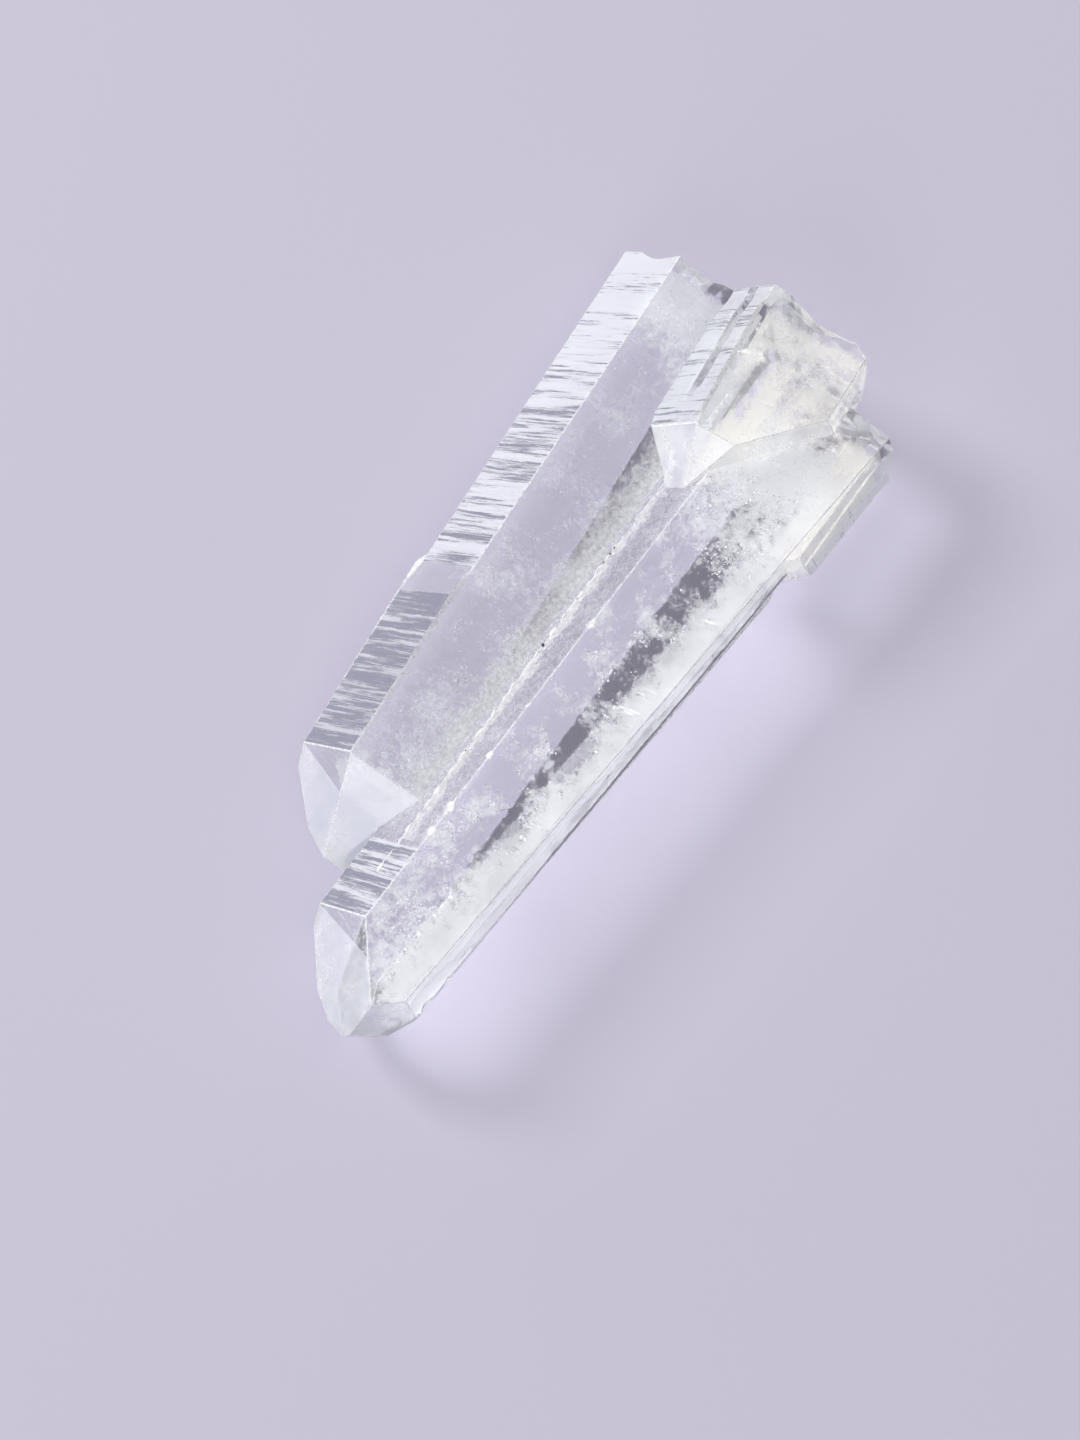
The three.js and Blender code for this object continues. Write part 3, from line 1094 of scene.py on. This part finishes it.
RIGHT_ACROSS, LEFT_ACROSS = (-4.1, 2.5), (-3.3, 2.5)
white_flakes, dark_flakes = bmesh.new(), bmesh.new()
throw_flakes(white_flakes, RIGHT, 3200, (0.1, 1.6), (2, 38), RIGHT_ACROSS, right_fray,
             (0.02, 0.08), 101)
throw_flakes(white_flakes, LEFT, 2300, (0.1, 1.2), (3, 34), LEFT_ACROSS, left_fray,
             (0.012, 0.05), 102)
throw_flakes(dark_flakes, RIGHT, 520, (0.08, 0.6), (4, 34), RIGHT_ACROSS, right_fray,
             (0.015, 0.05), 103)
throw_flakes(dark_flakes, LEFT, 150, (0.08, 0.6), (6, 33), LEFT_ACROSS, left_fray,
             (0.012, 0.035), 104)
print(len(white_flakes.faces), "white flakes and", len(dark_flakes.faces), "dark ones")

# %% [markdown]
# ### Crushed bits under the chips
#
# A chip is white because the quartz below it is crushed. Bump on the chip's own faces would stay
# as clear as they are. So white bits are stamped just under its skin, where they catch the light.

# %% Crushed bits
CRUSHED_BITS = 60


def crush(bm, centre, radius, count, seed):
    """White bits just under the skin of a chip."""
    dice = random.Random(seed)
    for _ in range(count):
        away = Vector((dice.gauss(0, 1), dice.gauss(0, 1), -abs(dice.gauss(0, 1)))).normalized()
        place = Vector(centre) + away * radius * dice.uniform(1.02, 1.3)
        if min(clearances(RIGHT, place)) > 0.02:
            stamp_flake(bm, dice, place, dice.uniform(0.03, 0.09))


for number, (centre, radius) in enumerate(CHIPS):
    crush(white_flakes, centre, radius, CRUSHED_BITS, 110 + number)
print("with the crushed bits,", len(white_flakes.faces), "white flakes")

# %% [markdown]
# ## The seam between the long crystals
#
# Where the two meet, the groove is filled with a grey, granular crust and a bright irregular
# line. The line could be drawn by eye, but it would float above the groove or sink into it. Two
# flat faces meet in a straight line, so it is worked out from the faces' own measures.

# %% The meeting line of two faces
def meeting_line(first, first_face, second, second_face, x):
    """Where a face of one crystal meets a face of another, at a given x."""
    rows, wants = [(1.0, 0.0, 0.0)], [x]
    for crystal, face in ((first, first_face), (second, second_face)):
        start = directions(crystal)[0]
        turn = turn_of(crystal, face)
        normal = slanted(crystal, turn, crystal["lean"][face])
        foot = start + outward(crystal, turn) * crystal["out"][face]
        rows.append(tuple(normal))
        wants.append(normal.dot(foot))
    return Matrix(rows).inverted() @ Vector(wants)


def seam_place(x):
    return meeting_line(LEFT, FLANK_UP, RIGHT, LEFT_STEEP, x)


SEAM_FROM, SEAM_TO = -9.3, 13.3
print("seam runs from", seam_place(SEAM_FROM), "to", seam_place(SEAM_TO))

# %% [markdown]
# ### The bright line
#
# It is a chain of white crumbs, jagged, and thick and thin by turns. A curve with a round bevel
# would be too even. Here a ring is extruded from station to station along the meeting line, and
# each station has its own jag and thickness.

# %% The bright thread
THREAD_STEP = 0.16
THREAD_SIDES = 6
THREAD_RADIUS = 0.052
THINNEST = 0.012
THREAD_JAG = 0.16


def thread_station(number):
    """Middle and radius of the thread at one station."""
    x = SEAM_FROM + THREAD_STEP * number
    aside, aloft = (noise.noise(Vector(spot)) for spot in ((x * 1.9, 4.0, 0), (x * 2.3, 9.0, 0)))
    thick = THREAD_RADIUS * (0.9 + 2.0 * noise.noise(Vector((x * 1.6, 1.0, 2.0))))
    return seam_place(x) + THREAD_JAG * Vector((0, aside, aloft)), max(THINNEST, thick)


seam_line = bmesh.new()
ring = bmesh.ops.create_circle(seam_line, segments=THREAD_SIDES, radius=1.0)["verts"]
place, thick = thread_station(0)
across_x = Matrix.Rotation(math.radians(90), 4, "Y")
bmesh.ops.transform(
    seam_line, matrix=Matrix.Translation(place) @ Matrix.Scale(thick, 4) @ across_x, verts=ring)
edges = seam_line.edges[:]
for number in range(1, int((SEAM_TO - SEAM_FROM) / THREAD_STEP)):
    new_place, new_thick = thread_station(number)
    made = bmesh.ops.extrude_edge_only(seam_line, edges=edges)["geom"]
    verts = [part for part in made if isinstance(part, bmesh.types.BMVert)]
    edges = [part for part in made if isinstance(part, bmesh.types.BMEdge)]
    move = (Matrix.Translation(new_place) @ Matrix.Scale(new_thick / thick, 4)
            @ Matrix.Translation(-place))
    bmesh.ops.transform(seam_line, matrix=move, verts=verts)
    place, thick = new_place, new_thick
bmesh.ops.holes_fill(seam_line, edges=seam_line.edges[:], sides=THREAD_SIDES)
bmesh.ops.recalc_face_normals(seam_line, faces=seam_line.faces[:])
print("the thread has", len(seam_line.faces), "faces")

# %% [markdown]
# ### Dark grains
#
# A few grains of dark soil are caught in the line, one of them a quarter of a millimetre across.
# They are small balls, roughened by noise, and they join the dark flakes because they share their
# finish.

# %% A few dark grains caught in the line
SEAM_GRAINS = ((-8.6, 0.06), (-8.2, 0.07), (-7.6, 0.05), (-6.4, 0.04), (-5.1, 0.05), (-3.2, 0.04),
               (-1.9, 0.11), (-1.5, 0.05), (0.6, 0.04), (5.2, 0.05))
for number, (x, size) in enumerate(SEAM_GRAINS):
    grain = bmesh.ops.create_icosphere(dark_flakes, subdivisions=1, radius=size)["verts"]
    for vert in grain:
        vert.co *= 1 + 0.5 * noise.noise(vert.co * (1.5 / size) + Vector((number * 3.0, 0, 0)))
    bmesh.ops.translate(dark_flakes, vec=seam_place(x) + Vector((0, 0, size)), verts=grain)
print(len(SEAM_GRAINS), "grains in the seam")

# %% [markdown]
# ### The crust
#
# Fine grey grit covers both walls of the groove, thickest at the bottom. Thousands of grains would
# make a heavy mesh for something so fine. It is a thin film instead, a hair above each wall, with
# the same painted density as the veils: full at the other crystal's face and ragged at its end.

# %% The crust film on both walls
FILM_LIFT = 0.03
FILM_STEPS = (0.25, 0.2)
BEHIND_WALL = -0.05


def lay_film(bm, crystal, face, other, other_face, alongs, acrosses, reach, seed):
    """A film on a face, full beside the other crystal's face and gone at reach from it."""
    layer = bm.verts.layers.float["cloudiness"]
    other_start, other_axis, _ = directions(other)
    other_out = outward(other, turn_of(other, other_face))
    columns = round((alongs[1] - alongs[0]) / FILM_STEPS[0])
    rows = round((acrosses[1] - acrosses[0]) / FILM_STEPS[1])
    outside = []
    for vert, along, across in spread_grid(bm, alongs, acrosses, columns, rows):
        place = under_face(crystal, face, along, across, -FILM_LIFT)
        gaps = clearances(crystal, place)
        offset = place - other_start
        away = offset.dot(other_out) - half_width(other, other_face, offset.dot(other_axis))
        on_face = min(gap for number, gap in enumerate(gaps) if number != face) > 0.02
        fade = ramp(away + 0.5 * ragged(along, across, seed, 0.8), 0.1, reach)
        vert[layer] = 1 - fade if on_face and away >= BEHIND_WALL else 0.0
        vert.co = place
        if vert[layer] <= 0.0:
            outside.append(vert)
    bmesh.ops.delete(bm, geom=outside, context="VERTS")


crust = veil_mesh()
lay_film(crust, LEFT, FLANK_UP, RIGHT, LEFT_STEEP, (3.0, 37.0), (-3.5, 3.5), 1.0, 121.0)
lay_film(crust, RIGHT, LEFT_STEEP, LEFT, FLANK_UP, (3.0, 33.0), (-3.5, 3.5), 1.1, 125.0)
lay_film(crust, LEFT, TOP_FACE, RIGHT, LEFT_STEEP, (3.0, 37.0), (-3.5, 0.5), 1.9, 127.0)
print("crust film:", len(crust.faces), "faces")

# %% [markdown]
# ## Finishes
#
# Clear quartz bends light with an index of 1.544. Its colour is plain, so what makes it look
# real is how its gloss changes over the surface. Some effects serve several finishes, so they
# are node groups with named inputs and outputs, each made once. One helper writes a node's
# settings, values and links in a single call, which reads like the node in the editor.

# %% Small helpers for building nodes
FLOAT, COLOR = "NodeSocketFloat", "NodeSocketColor"


def add_node(tree, kind, inputs, **settings):
    """One shader node. An input takes a value, or a link when it is given a node's output."""
    node = tree.nodes.new("ShaderNode" + kind)
    for name, value in settings.items():
        setattr(node, name, value)
    for name, value in inputs.items():
        if isinstance(value, bpy.types.NodeSocket):
            tree.links.new(value, node.inputs[name])
        else:
            node.inputs[name].default_value = value
    return node


def calculate(tree, operation, first, second, clamp=False):
    return add_node(tree, "Math", {0: first, 1: second},
                    operation=operation, use_clamp=clamp).outputs[0]


def map_range(tree, value, limits, kind="LINEAR"):
    return add_node(tree, "MapRange", {"Value": value, **limits},
                    interpolation_type=kind).outputs["Result"]


def blend_colours(tree, share, first, second):
    """Colours keep their own sockets on the Mix node: 6 and 7 in, 2 out."""
    return add_node(tree, "Mix", {"Factor": share, 6: first, 7: second},
                    data_type="RGBA").outputs[2]


# %% [markdown]
# ### Groups with named sockets
#
# A group is opened with its inputs and outputs, filled with nodes, and closed by linking what it
# worked out to its outputs. Groups hold no shader of their own: they only give a colour, a height
# or a value, which each material then uses in its own way.

# %% Opening and closing a group
def open_group(name, inputs, outputs):
    """A group with inputs (name, socket type, default) and outputs (name, socket type)."""
    group = bpy.data.node_groups.new(name, "ShaderNodeTree")
    for socket_name, kind, default in inputs:
        socket = group.interface.new_socket(socket_name, in_out="INPUT", socket_type=kind)
        socket.default_value = default
    for socket_name, kind in outputs:
        group.interface.new_socket(socket_name, in_out="OUTPUT", socket_type=kind)
    return group, group.nodes.new("NodeGroupInput").outputs


def close_group(group, results):
    """Links the results to the group's outputs of the same names."""
    put_out = group.nodes.new("NodeGroupOutput")
    for name, result in results.items():
        group.links.new(result, put_out.inputs[name])
    print("group", group.name, "has", len(group.nodes), "nodes")
    return group


# %% [markdown]
# ### Veil mask
#
# It turns the painted density into a ragged mask. Where the noise stands higher than the
# density allows, the sheet is empty. A mask from density alone would be a smooth fog, and real
# cloud is made of specks.

# %% Group: veil mask
group, given = open_group(
    "veil_mask",
    [("Density", FLOAT, 0.5), ("Scale", FLOAT, 1400.0), ("Softness", FLOAT, 0.25),
     ("Strength", FLOAT, 0.6)],
    [("Mask", FLOAT)],
)
grain = add_node(group, "TexNoise", {
    "Vector": add_node(group, "TexCoord", {}).outputs["Object"],
    "Scale": given["Scale"], "Detail": 7.0, "Roughness": 0.68})
spread = map_range(group, grain.outputs["Fac"], {"From Min": 0.3, "From Max": 0.7})
empty = calculate(group, "SUBTRACT", 1.0, given["Density"])
cut = map_range(group, spread, {
    "From Min": calculate(group, "SUBTRACT", empty, given["Softness"]),
    "From Max": calculate(group, "ADD", empty, given["Softness"])}, "SMOOTHSTEP")
# Without this, the lowest noise would leave specks where there is no cloud at all.
present = calculate(group, "MULTIPLY", given["Density"], 6.0, clamp=True)
cloud = calculate(group, "MULTIPLY", cut, present)
VEIL_MASK = close_group(group, {
    "Mask": calculate(group, "MULTIPLY", cloud, given["Strength"], clamp=True)})

# %% [markdown]
# ### Growth lines
#
# Fine uneven lines square to the crystal, read from the growth map. They give a small height, and
# they paint light and shade into the colour: the pale between the lines is a painted sheen for
# sunlight caught on the steps, and the dark lines are painted reflections. The noise is stretched
# across the face and turned by a hair, and broad bands are mixed in, so that the lines crowd
# together in places and leave others bare.

# %% Group: growth lines
# Painted light: the Light colour is a painted sheen for sunlight caught on the growth steps, and
# the Dark colour is a painted reflection of dark surroundings.
group, given = open_group(
    "growth_lines_and_painted_sheen",
    [("Lines per mm", FLOAT, 5.0), ("Light", COLOR, (0.86, 0.88, 0.915, 1)),
     ("Dark", COLOR, (0.16, 0.17, 0.23, 1)), ("Amount", FLOAT, 1.0)],
    [("Color", COLOR), ("Height", FLOAT), ("Roughness", FLOAT)],
)
stretched = add_node(group, "Mapping", {
    "Vector": add_node(group, "UVMap", {}, uv_map="growth").outputs["UV"],
    "Scale": (1.0, 0.035, 1.0), "Rotation": (0, 0, math.radians(0.6))}).outputs["Vector"]
fine = add_node(group, "TexNoise", {
    "Vector": stretched, "Scale": given["Lines per mm"], "Detail": 4.0, "Roughness": 0.75,
    "Distortion": 0.08})
bands = add_node(group, "TexNoise", {"Vector": stretched, "Scale": 1.3, "Detail": 2.0})
banded = add_node(group, "Mix", {
    "Factor": 0.35, "A": fine.outputs["Fac"], "B": bands.outputs["Fac"]})
# The lining map holds how strongly the place is lined, and how pale it is, that is how little
# painted dark reflection it takes.
lining_map = add_node(group, "UVMap", {}, uv_map="lining")
strong_and_pale = add_node(group, "SeparateXYZ", {"Vector": lining_map.outputs["UV"]}).outputs
amount = calculate(group, "MULTIPLY", strong_and_pale["X"], given["Amount"])
first_line = calculate(group, "ADD", calculate(group, "MULTIPLY", amount, -0.17), 0.6)
full_line = calculate(group, "ADD", first_line, 0.09)
lines = map_range(group, banded.outputs["Result"],
                  {"From Min": first_line, "From Max": full_line}, "SMOOTHSTEP")
# Painted reflection: the lines, and the places that are less pale, are painted towards the Dark
# colour.
painted_dark_reflection = calculate(group, "SUBTRACT", 1.0, strong_and_pale["Y"], clamp=True)
darkening = calculate(group, "MAXIMUM", calculate(group, "MULTIPLY", lines, 0.85), painted_dark_reflection)
LINES_AND_PAINTED_SHEEN = close_group(group, {
    "Color": blend_colours(group, darkening, given["Light"], given["Dark"]),
    "Height": lines,
    "Roughness": map_range(group, lines, {"To Min": 0.38, "To Max": 0.16})})

# %% [markdown]
# ### Granular skin
#
# Grains for frosted walls, crust, edge strips and chips, and the break, coarse or fine by its
# scale. On the glassy faces it serves as a slow change of gloss. One noise drives colour, height
# and gloss together, so a grain that looks pale is also the one that stands up.

# %% Group: granular skin
group, given = open_group(
    "granular_skin",
    [("Scale", FLOAT, 5000.0), ("Pale", COLOR, (0.93, 0.93, 0.95, 1)),
     ("Deep", COLOR, (0.55, 0.55, 0.6, 1)), ("Smooth", FLOAT, 0.15), ("Rough", FLOAT, 0.55)],
    [("Color", COLOR), ("Height", FLOAT), ("Roughness", FLOAT)],
)
grains = add_node(group, "TexNoise", {
    "Vector": add_node(group, "TexCoord", {}).outputs["Object"],
    "Scale": given["Scale"], "Detail": 5.0, "Roughness": 0.7})
contrast = map_range(group, grains.outputs["Fac"],
                     {"From Min": 0.35, "From Max": 0.65}, "SMOOTHSTEP")
GRANULAR_SKIN = close_group(group, {
    "Color": blend_colours(group, contrast, given["Deep"], given["Pale"]),
    "Height": contrast,
    "Roughness": map_range(group, contrast, {"To Min": given["Smooth"], "To Max": given["Rough"]})})

# %% [markdown]
# ### The body's glassy finishes
#
# All are quartz, and differ in how much light goes through and in the group that roughens them.
# For shadow rays alone, clear transparency is mixed in, so the floor below and the cloud inside
# are lit as in real quartz. Real caustics would need far more samples. How much light passes
# straight through is one plain value for all of them.

# %% Glass with a textured skin
QUARTZ_INDEX = 1.544
QUARTZ_COLOUR = (0.97, 0.975, 0.985, 1)
LAMPLIGHT_PASSED = (0.64, 0.64, 0.65, 1)


def shader_tree(material, values):
    """Clears a material down to one Principled shader with the given values."""
    material.use_nodes = True
    tree = material.node_tree
    tree.nodes.clear()
    shader = add_node(tree, "BsdfPrincipled", values)
    output = add_node(tree, "OutputMaterial", {"Surface": shader.outputs["BSDF"]})
    return tree, shader, output


def glass_finish(finish, transmission, group, coloured=True, bump=None, **values):
    """Fills in one finish. The group always gives its gloss, and where that is wanted its colour
    and its bump, which is (strength, distance)."""
    tree, shader, output = shader_tree(FINISHES[finish], {
        "Base Color": QUARTZ_COLOUR, "IOR": QUARTZ_INDEX, "Transmission Weight": transmission})
    skin = add_node(tree, "Group", values, node_tree=group).outputs
    tree.links.new(skin["Roughness"], shader.inputs["Roughness"])
    if coloured:
        tree.links.new(skin["Color"], shader.inputs["Base Color"])
    if bump:
        raised = add_node(tree, "Bump", {
            "Height": skin["Height"], "Strength": bump[0], "Distance": bump[1]})
        tree.links.new(raised.outputs["Normal"], shader.inputs["Normal"])
    passing = add_node(tree, "BsdfTransparent", {"Color": LAMPLIGHT_PASSED})
    either = add_node(tree, "MixShader", {
        "Fac": add_node(tree, "LightPath", {}).outputs["Is Shadow Ray"],
        1: shader.outputs["BSDF"], 2: passing.outputs["BSDF"]})
    tree.links.new(either.outputs["Shader"], output.inputs["Surface"])


# %% [markdown]
# ### Each finish's own values
#
# Glassy faces are nearly smooth. Lined faces are painted pale between their lines, a painted sheen
# for light caught on their steps, and their lines are painted dark reflections. The satin of the
# pointed faces is soft and a little blue, the groove wall is frosted with fine grains, the edge
# strips are painted white as a painted highlight while the chips that share their finish are truly
# white, and the fresh break is glassy with a hint of ripple.

# %% The six finishes of the body
glass_finish(CLEAR, 0.95, GRANULAR_SKIN, coloured=False, Scale=900.0, Smooth=0.015, Rough=0.09)
# The lined finish takes its pale and dark colour from the lines group: painted sheen and painted
# reflection. Its bump is real.
glass_finish(STRIATED, 0.45, LINES_AND_PAINTED_SHEEN, bump=(0.6, 0.00006))
glass_finish(SATIN, 0.62, GRANULAR_SKIN, Scale=420.0, Smooth=0.08, Rough=0.3,
             Pale=(0.97, 0.975, 0.99, 1), Deep=(0.8, 0.83, 0.89, 1))
glass_finish(FROSTED, 0.86, GRANULAR_SKIN, bump=(0.7, 0.00005), Scale=3600.0, Smooth=0.1,
             Rough=0.42, Pale=(0.93, 0.93, 0.96, 1), Deep=(0.66, 0.65, 0.69, 1))
# Painted highlight: the edge strips are painted white for light caught along the edges. The chips
# share this finish and are really white, from crushed quartz.
glass_finish(EDGE_SHEEN_AND_CHIPS, 0.35, GRANULAR_SKIN, Scale=4000.0, Smooth=0.2, Rough=0.5,
             Pale=(1, 1, 1, 1), Deep=(0.8, 0.8, 0.83, 1))
glass_finish(BROKEN, 0.93, GRANULAR_SKIN, bump=(0.15, 0.00005), Scale=900.0, Smooth=0.02,
             Rough=0.12, Pale=(0.98, 0.98, 0.98, 1), Deep=(0.93, 0.93, 0.92, 1))
print("filled in", len(FINISHES), "finishes")

# %% [markdown]
# ### Cloud, flakes and crust
#
# None of these is glass. They scatter light, so they are matt. Cloud and crust are also partly
# see-through by mask. A volume would be truer for cloud, but it is slow and can't be exported.
# The crust takes its colour from the granular skin, so its film reads as grit.

# %% Masked and matt finishes
MATT = 0.9


def masked_finish(name, colour, scale, softness, strength, grit=None):
    """A matt finish with holes where the veil mask is empty. Grit gives it a granular colour."""
    material = bpy.data.materials.new(name)
    tree, shader, _ = shader_tree(material, {
        "Base Color": colour, "Roughness": MATT, "Specular IOR Level": 0.0})
    cloudiness = add_node(tree, "Attribute", {}, attribute_name="cloudiness")
    veil = add_node(tree, "Group", {
        "Density": cloudiness.outputs["Fac"], "Scale": scale, "Softness": softness,
        "Strength": strength}, node_tree=VEIL_MASK)
    tree.links.new(veil.outputs["Mask"], shader.inputs["Alpha"])
    if grit:
        skin = add_node(tree, "Group", grit, node_tree=GRANULAR_SKIN)
        tree.links.new(skin.outputs["Color"], shader.inputs["Base Color"])
    return material


def matt_finish(name, colour, roughness, shine=0.5):
    material = bpy.data.materials.new(name)
    shader_tree(material, {
        "Base Color": colour, "Roughness": roughness, "Specular IOR Level": shine})
    return material


milk = masked_finish("milky_veil", (0.9, 0.91, 0.93, 1), 1900.0, 0.2, 0.5)
# The wisp finish serves the real wisps and the painted light beside the groove alike.
wisp_and_painted_light = masked_finish("fine_wisp", (0.94, 0.95, 0.98, 1), 2600.0, 0.3, 0.3)
cream = masked_finish("cream_veil", (0.93, 0.915, 0.87, 1), 1300.0, 0.35, 0.42)
gritty = masked_finish("seam_crust", (0.8, 0.8, 0.8, 1), 3000.0, 0.35, 0.5, grit={
    "Scale": 4600.0, "Pale": (0.97, 0.97, 0.97, 1), "Deep": (0.55, 0.55, 0.57, 1)})
print("matt finishes:", milk.name, wisp_and_painted_light.name, cream.name, gritty.name)

# %% [markdown]
# ### Setting the cloud and the seam into the stone
#
# Real cloud passes light on to the cloud below it. Its sheets would darken each other, so they
# cast no shadows. The crust, the line and the flakes are solid specks and do.

# %% Placing cloud, seam and flakes
settle("milky_veils", white_veils, [milk], shades=False)
settle("wisps_and_painted_groove_light", wisps_and_groove_light, [wisp_and_painted_light], shades=False)
settle("cream_veils", cream_veils, [cream], shades=False)
settle("seam_crust", crust, [gritty])
settle("seam_line", seam_line, [matt_finish("seam_white", (0.97, 0.96, 0.93, 1), 0.4)])
settle("white_flakes", white_flakes, [matt_finish("white_fleck", (0.96, 0.96, 0.98, 1), 0.4)])
settle("dark_flakes", dark_flakes, [matt_finish("dark_fleck", (0.05, 0.045, 0.05, 1), 0.5)])

# %% [markdown]
# ## Floor
#
# A plain matt sheet, far larger than the view. Clear quartz shows what is under it, so the floor
# is a pale grey with a touch of violet, a little darker than the milky parts that lie on it.

# %% Floor
FLOOR_HALF = 0.8
floor_mesh = bmesh.new()
bmesh.ops.create_grid(floor_mesh, x_segments=1, y_segments=1, size=FLOOR_HALF)
floor = add_object("floor", floor_mesh, [
    matt_finish("pale_floor", (0.56, 0.53, 0.64, 1), MATT, shine=0.2)])
print("floor:", 2 * FLOOR_HALF, "m wide")

# %% [markdown]
# ## Light
#
# A small key light stands low on the left. It makes the steep left faces white and catches the
# growth lines. A long low softbox beside it gives those faces something pale to mirror. A fill
# from the other side and a lamp off the tips keep the flanks and the pointed faces from going
# dark. An even sky would be simpler, but then glass shows no form.

# %% Lights
AIM = Vector((2.03, 1.42, 0)) * MM
LAMP_DISTANCE = 1.2
world = bpy.data.worlds.new("studio")
bpy.context.scene.world = world
world.use_nodes = True
world.node_tree.nodes["Background"].inputs["Color"].default_value = (0.97, 0.98, 1.0, 1)
world.node_tree.nodes["Background"].inputs["Strength"].default_value = 0.26


def around(azimuth, elevation, distance):
    """A place round the aim, by the turn from +X towards +Y and the height, both in degrees."""
    turn, rise = math.radians(azimuth), math.radians(elevation)
    level = math.cos(rise)
    direction = Vector((level * math.cos(turn), level * math.sin(turn), math.sin(rise)))
    return AIM + distance * direction


def point_at_aim(thing):
    """Turns a lamp or the camera towards the aim, and puts it in the scene."""
    thing.rotation_euler = (AIM - thing.location).to_track_quat("-Z", "Y").to_euler()
    bpy.context.scene.collection.objects.link(thing)


def softbox(name, azimuth, elevation, width, height, power):
    data = bpy.data.lights.new(name, "AREA")
    data.shape = "RECTANGLE"
    data.size, data.size_y, data.energy = width, height, power
    lamp = bpy.data.objects.new(name, data)
    lamp.location = around(azimuth, elevation, LAMP_DISTANCE)
    point_at_aim(lamp)
    print(name, "gives", power, "W")


softbox("key", -86, 36, 0.35, 0.35, 12.4)
softbox("low_left", -95, 16, 0.96, 0.38, 2.9)
softbox("fill", 70, 62, 0.75, 0.75, 1.8)
softbox("tip_light", 18, 30, 0.6, 0.6, 4.0)

# %% [markdown]
# ## Camera
#
# It looks down steeply, as one looks at a stone on a table, and stands close, so the near tips
# look a little larger. The colours are shown as they are, without a film curve, because a curve
# would grey the white faces. The sheets of cloud lie many deep, so light has to pass more
# see-through layers than usual.

# %% Camera
bpy.context.scene.view_settings.view_transform = "Standard"
bpy.context.scene.cycles.transparent_max_bounces = 40
camera_data = bpy.data.cameras.new("camera")
camera_data.lens = 100
camera_data.sensor_fit = "VERTICAL"
camera_data.sensor_height = 36
camera_data.clip_start = 0.001
camera = bpy.data.objects.new("camera", camera_data)
camera.location = around(34.4, 68.9, 0.2105)
point_at_aim(camera)
bpy.context.scene.camera = camera
print("camera stands at", tuple(round(value, 4) for value in camera.location))
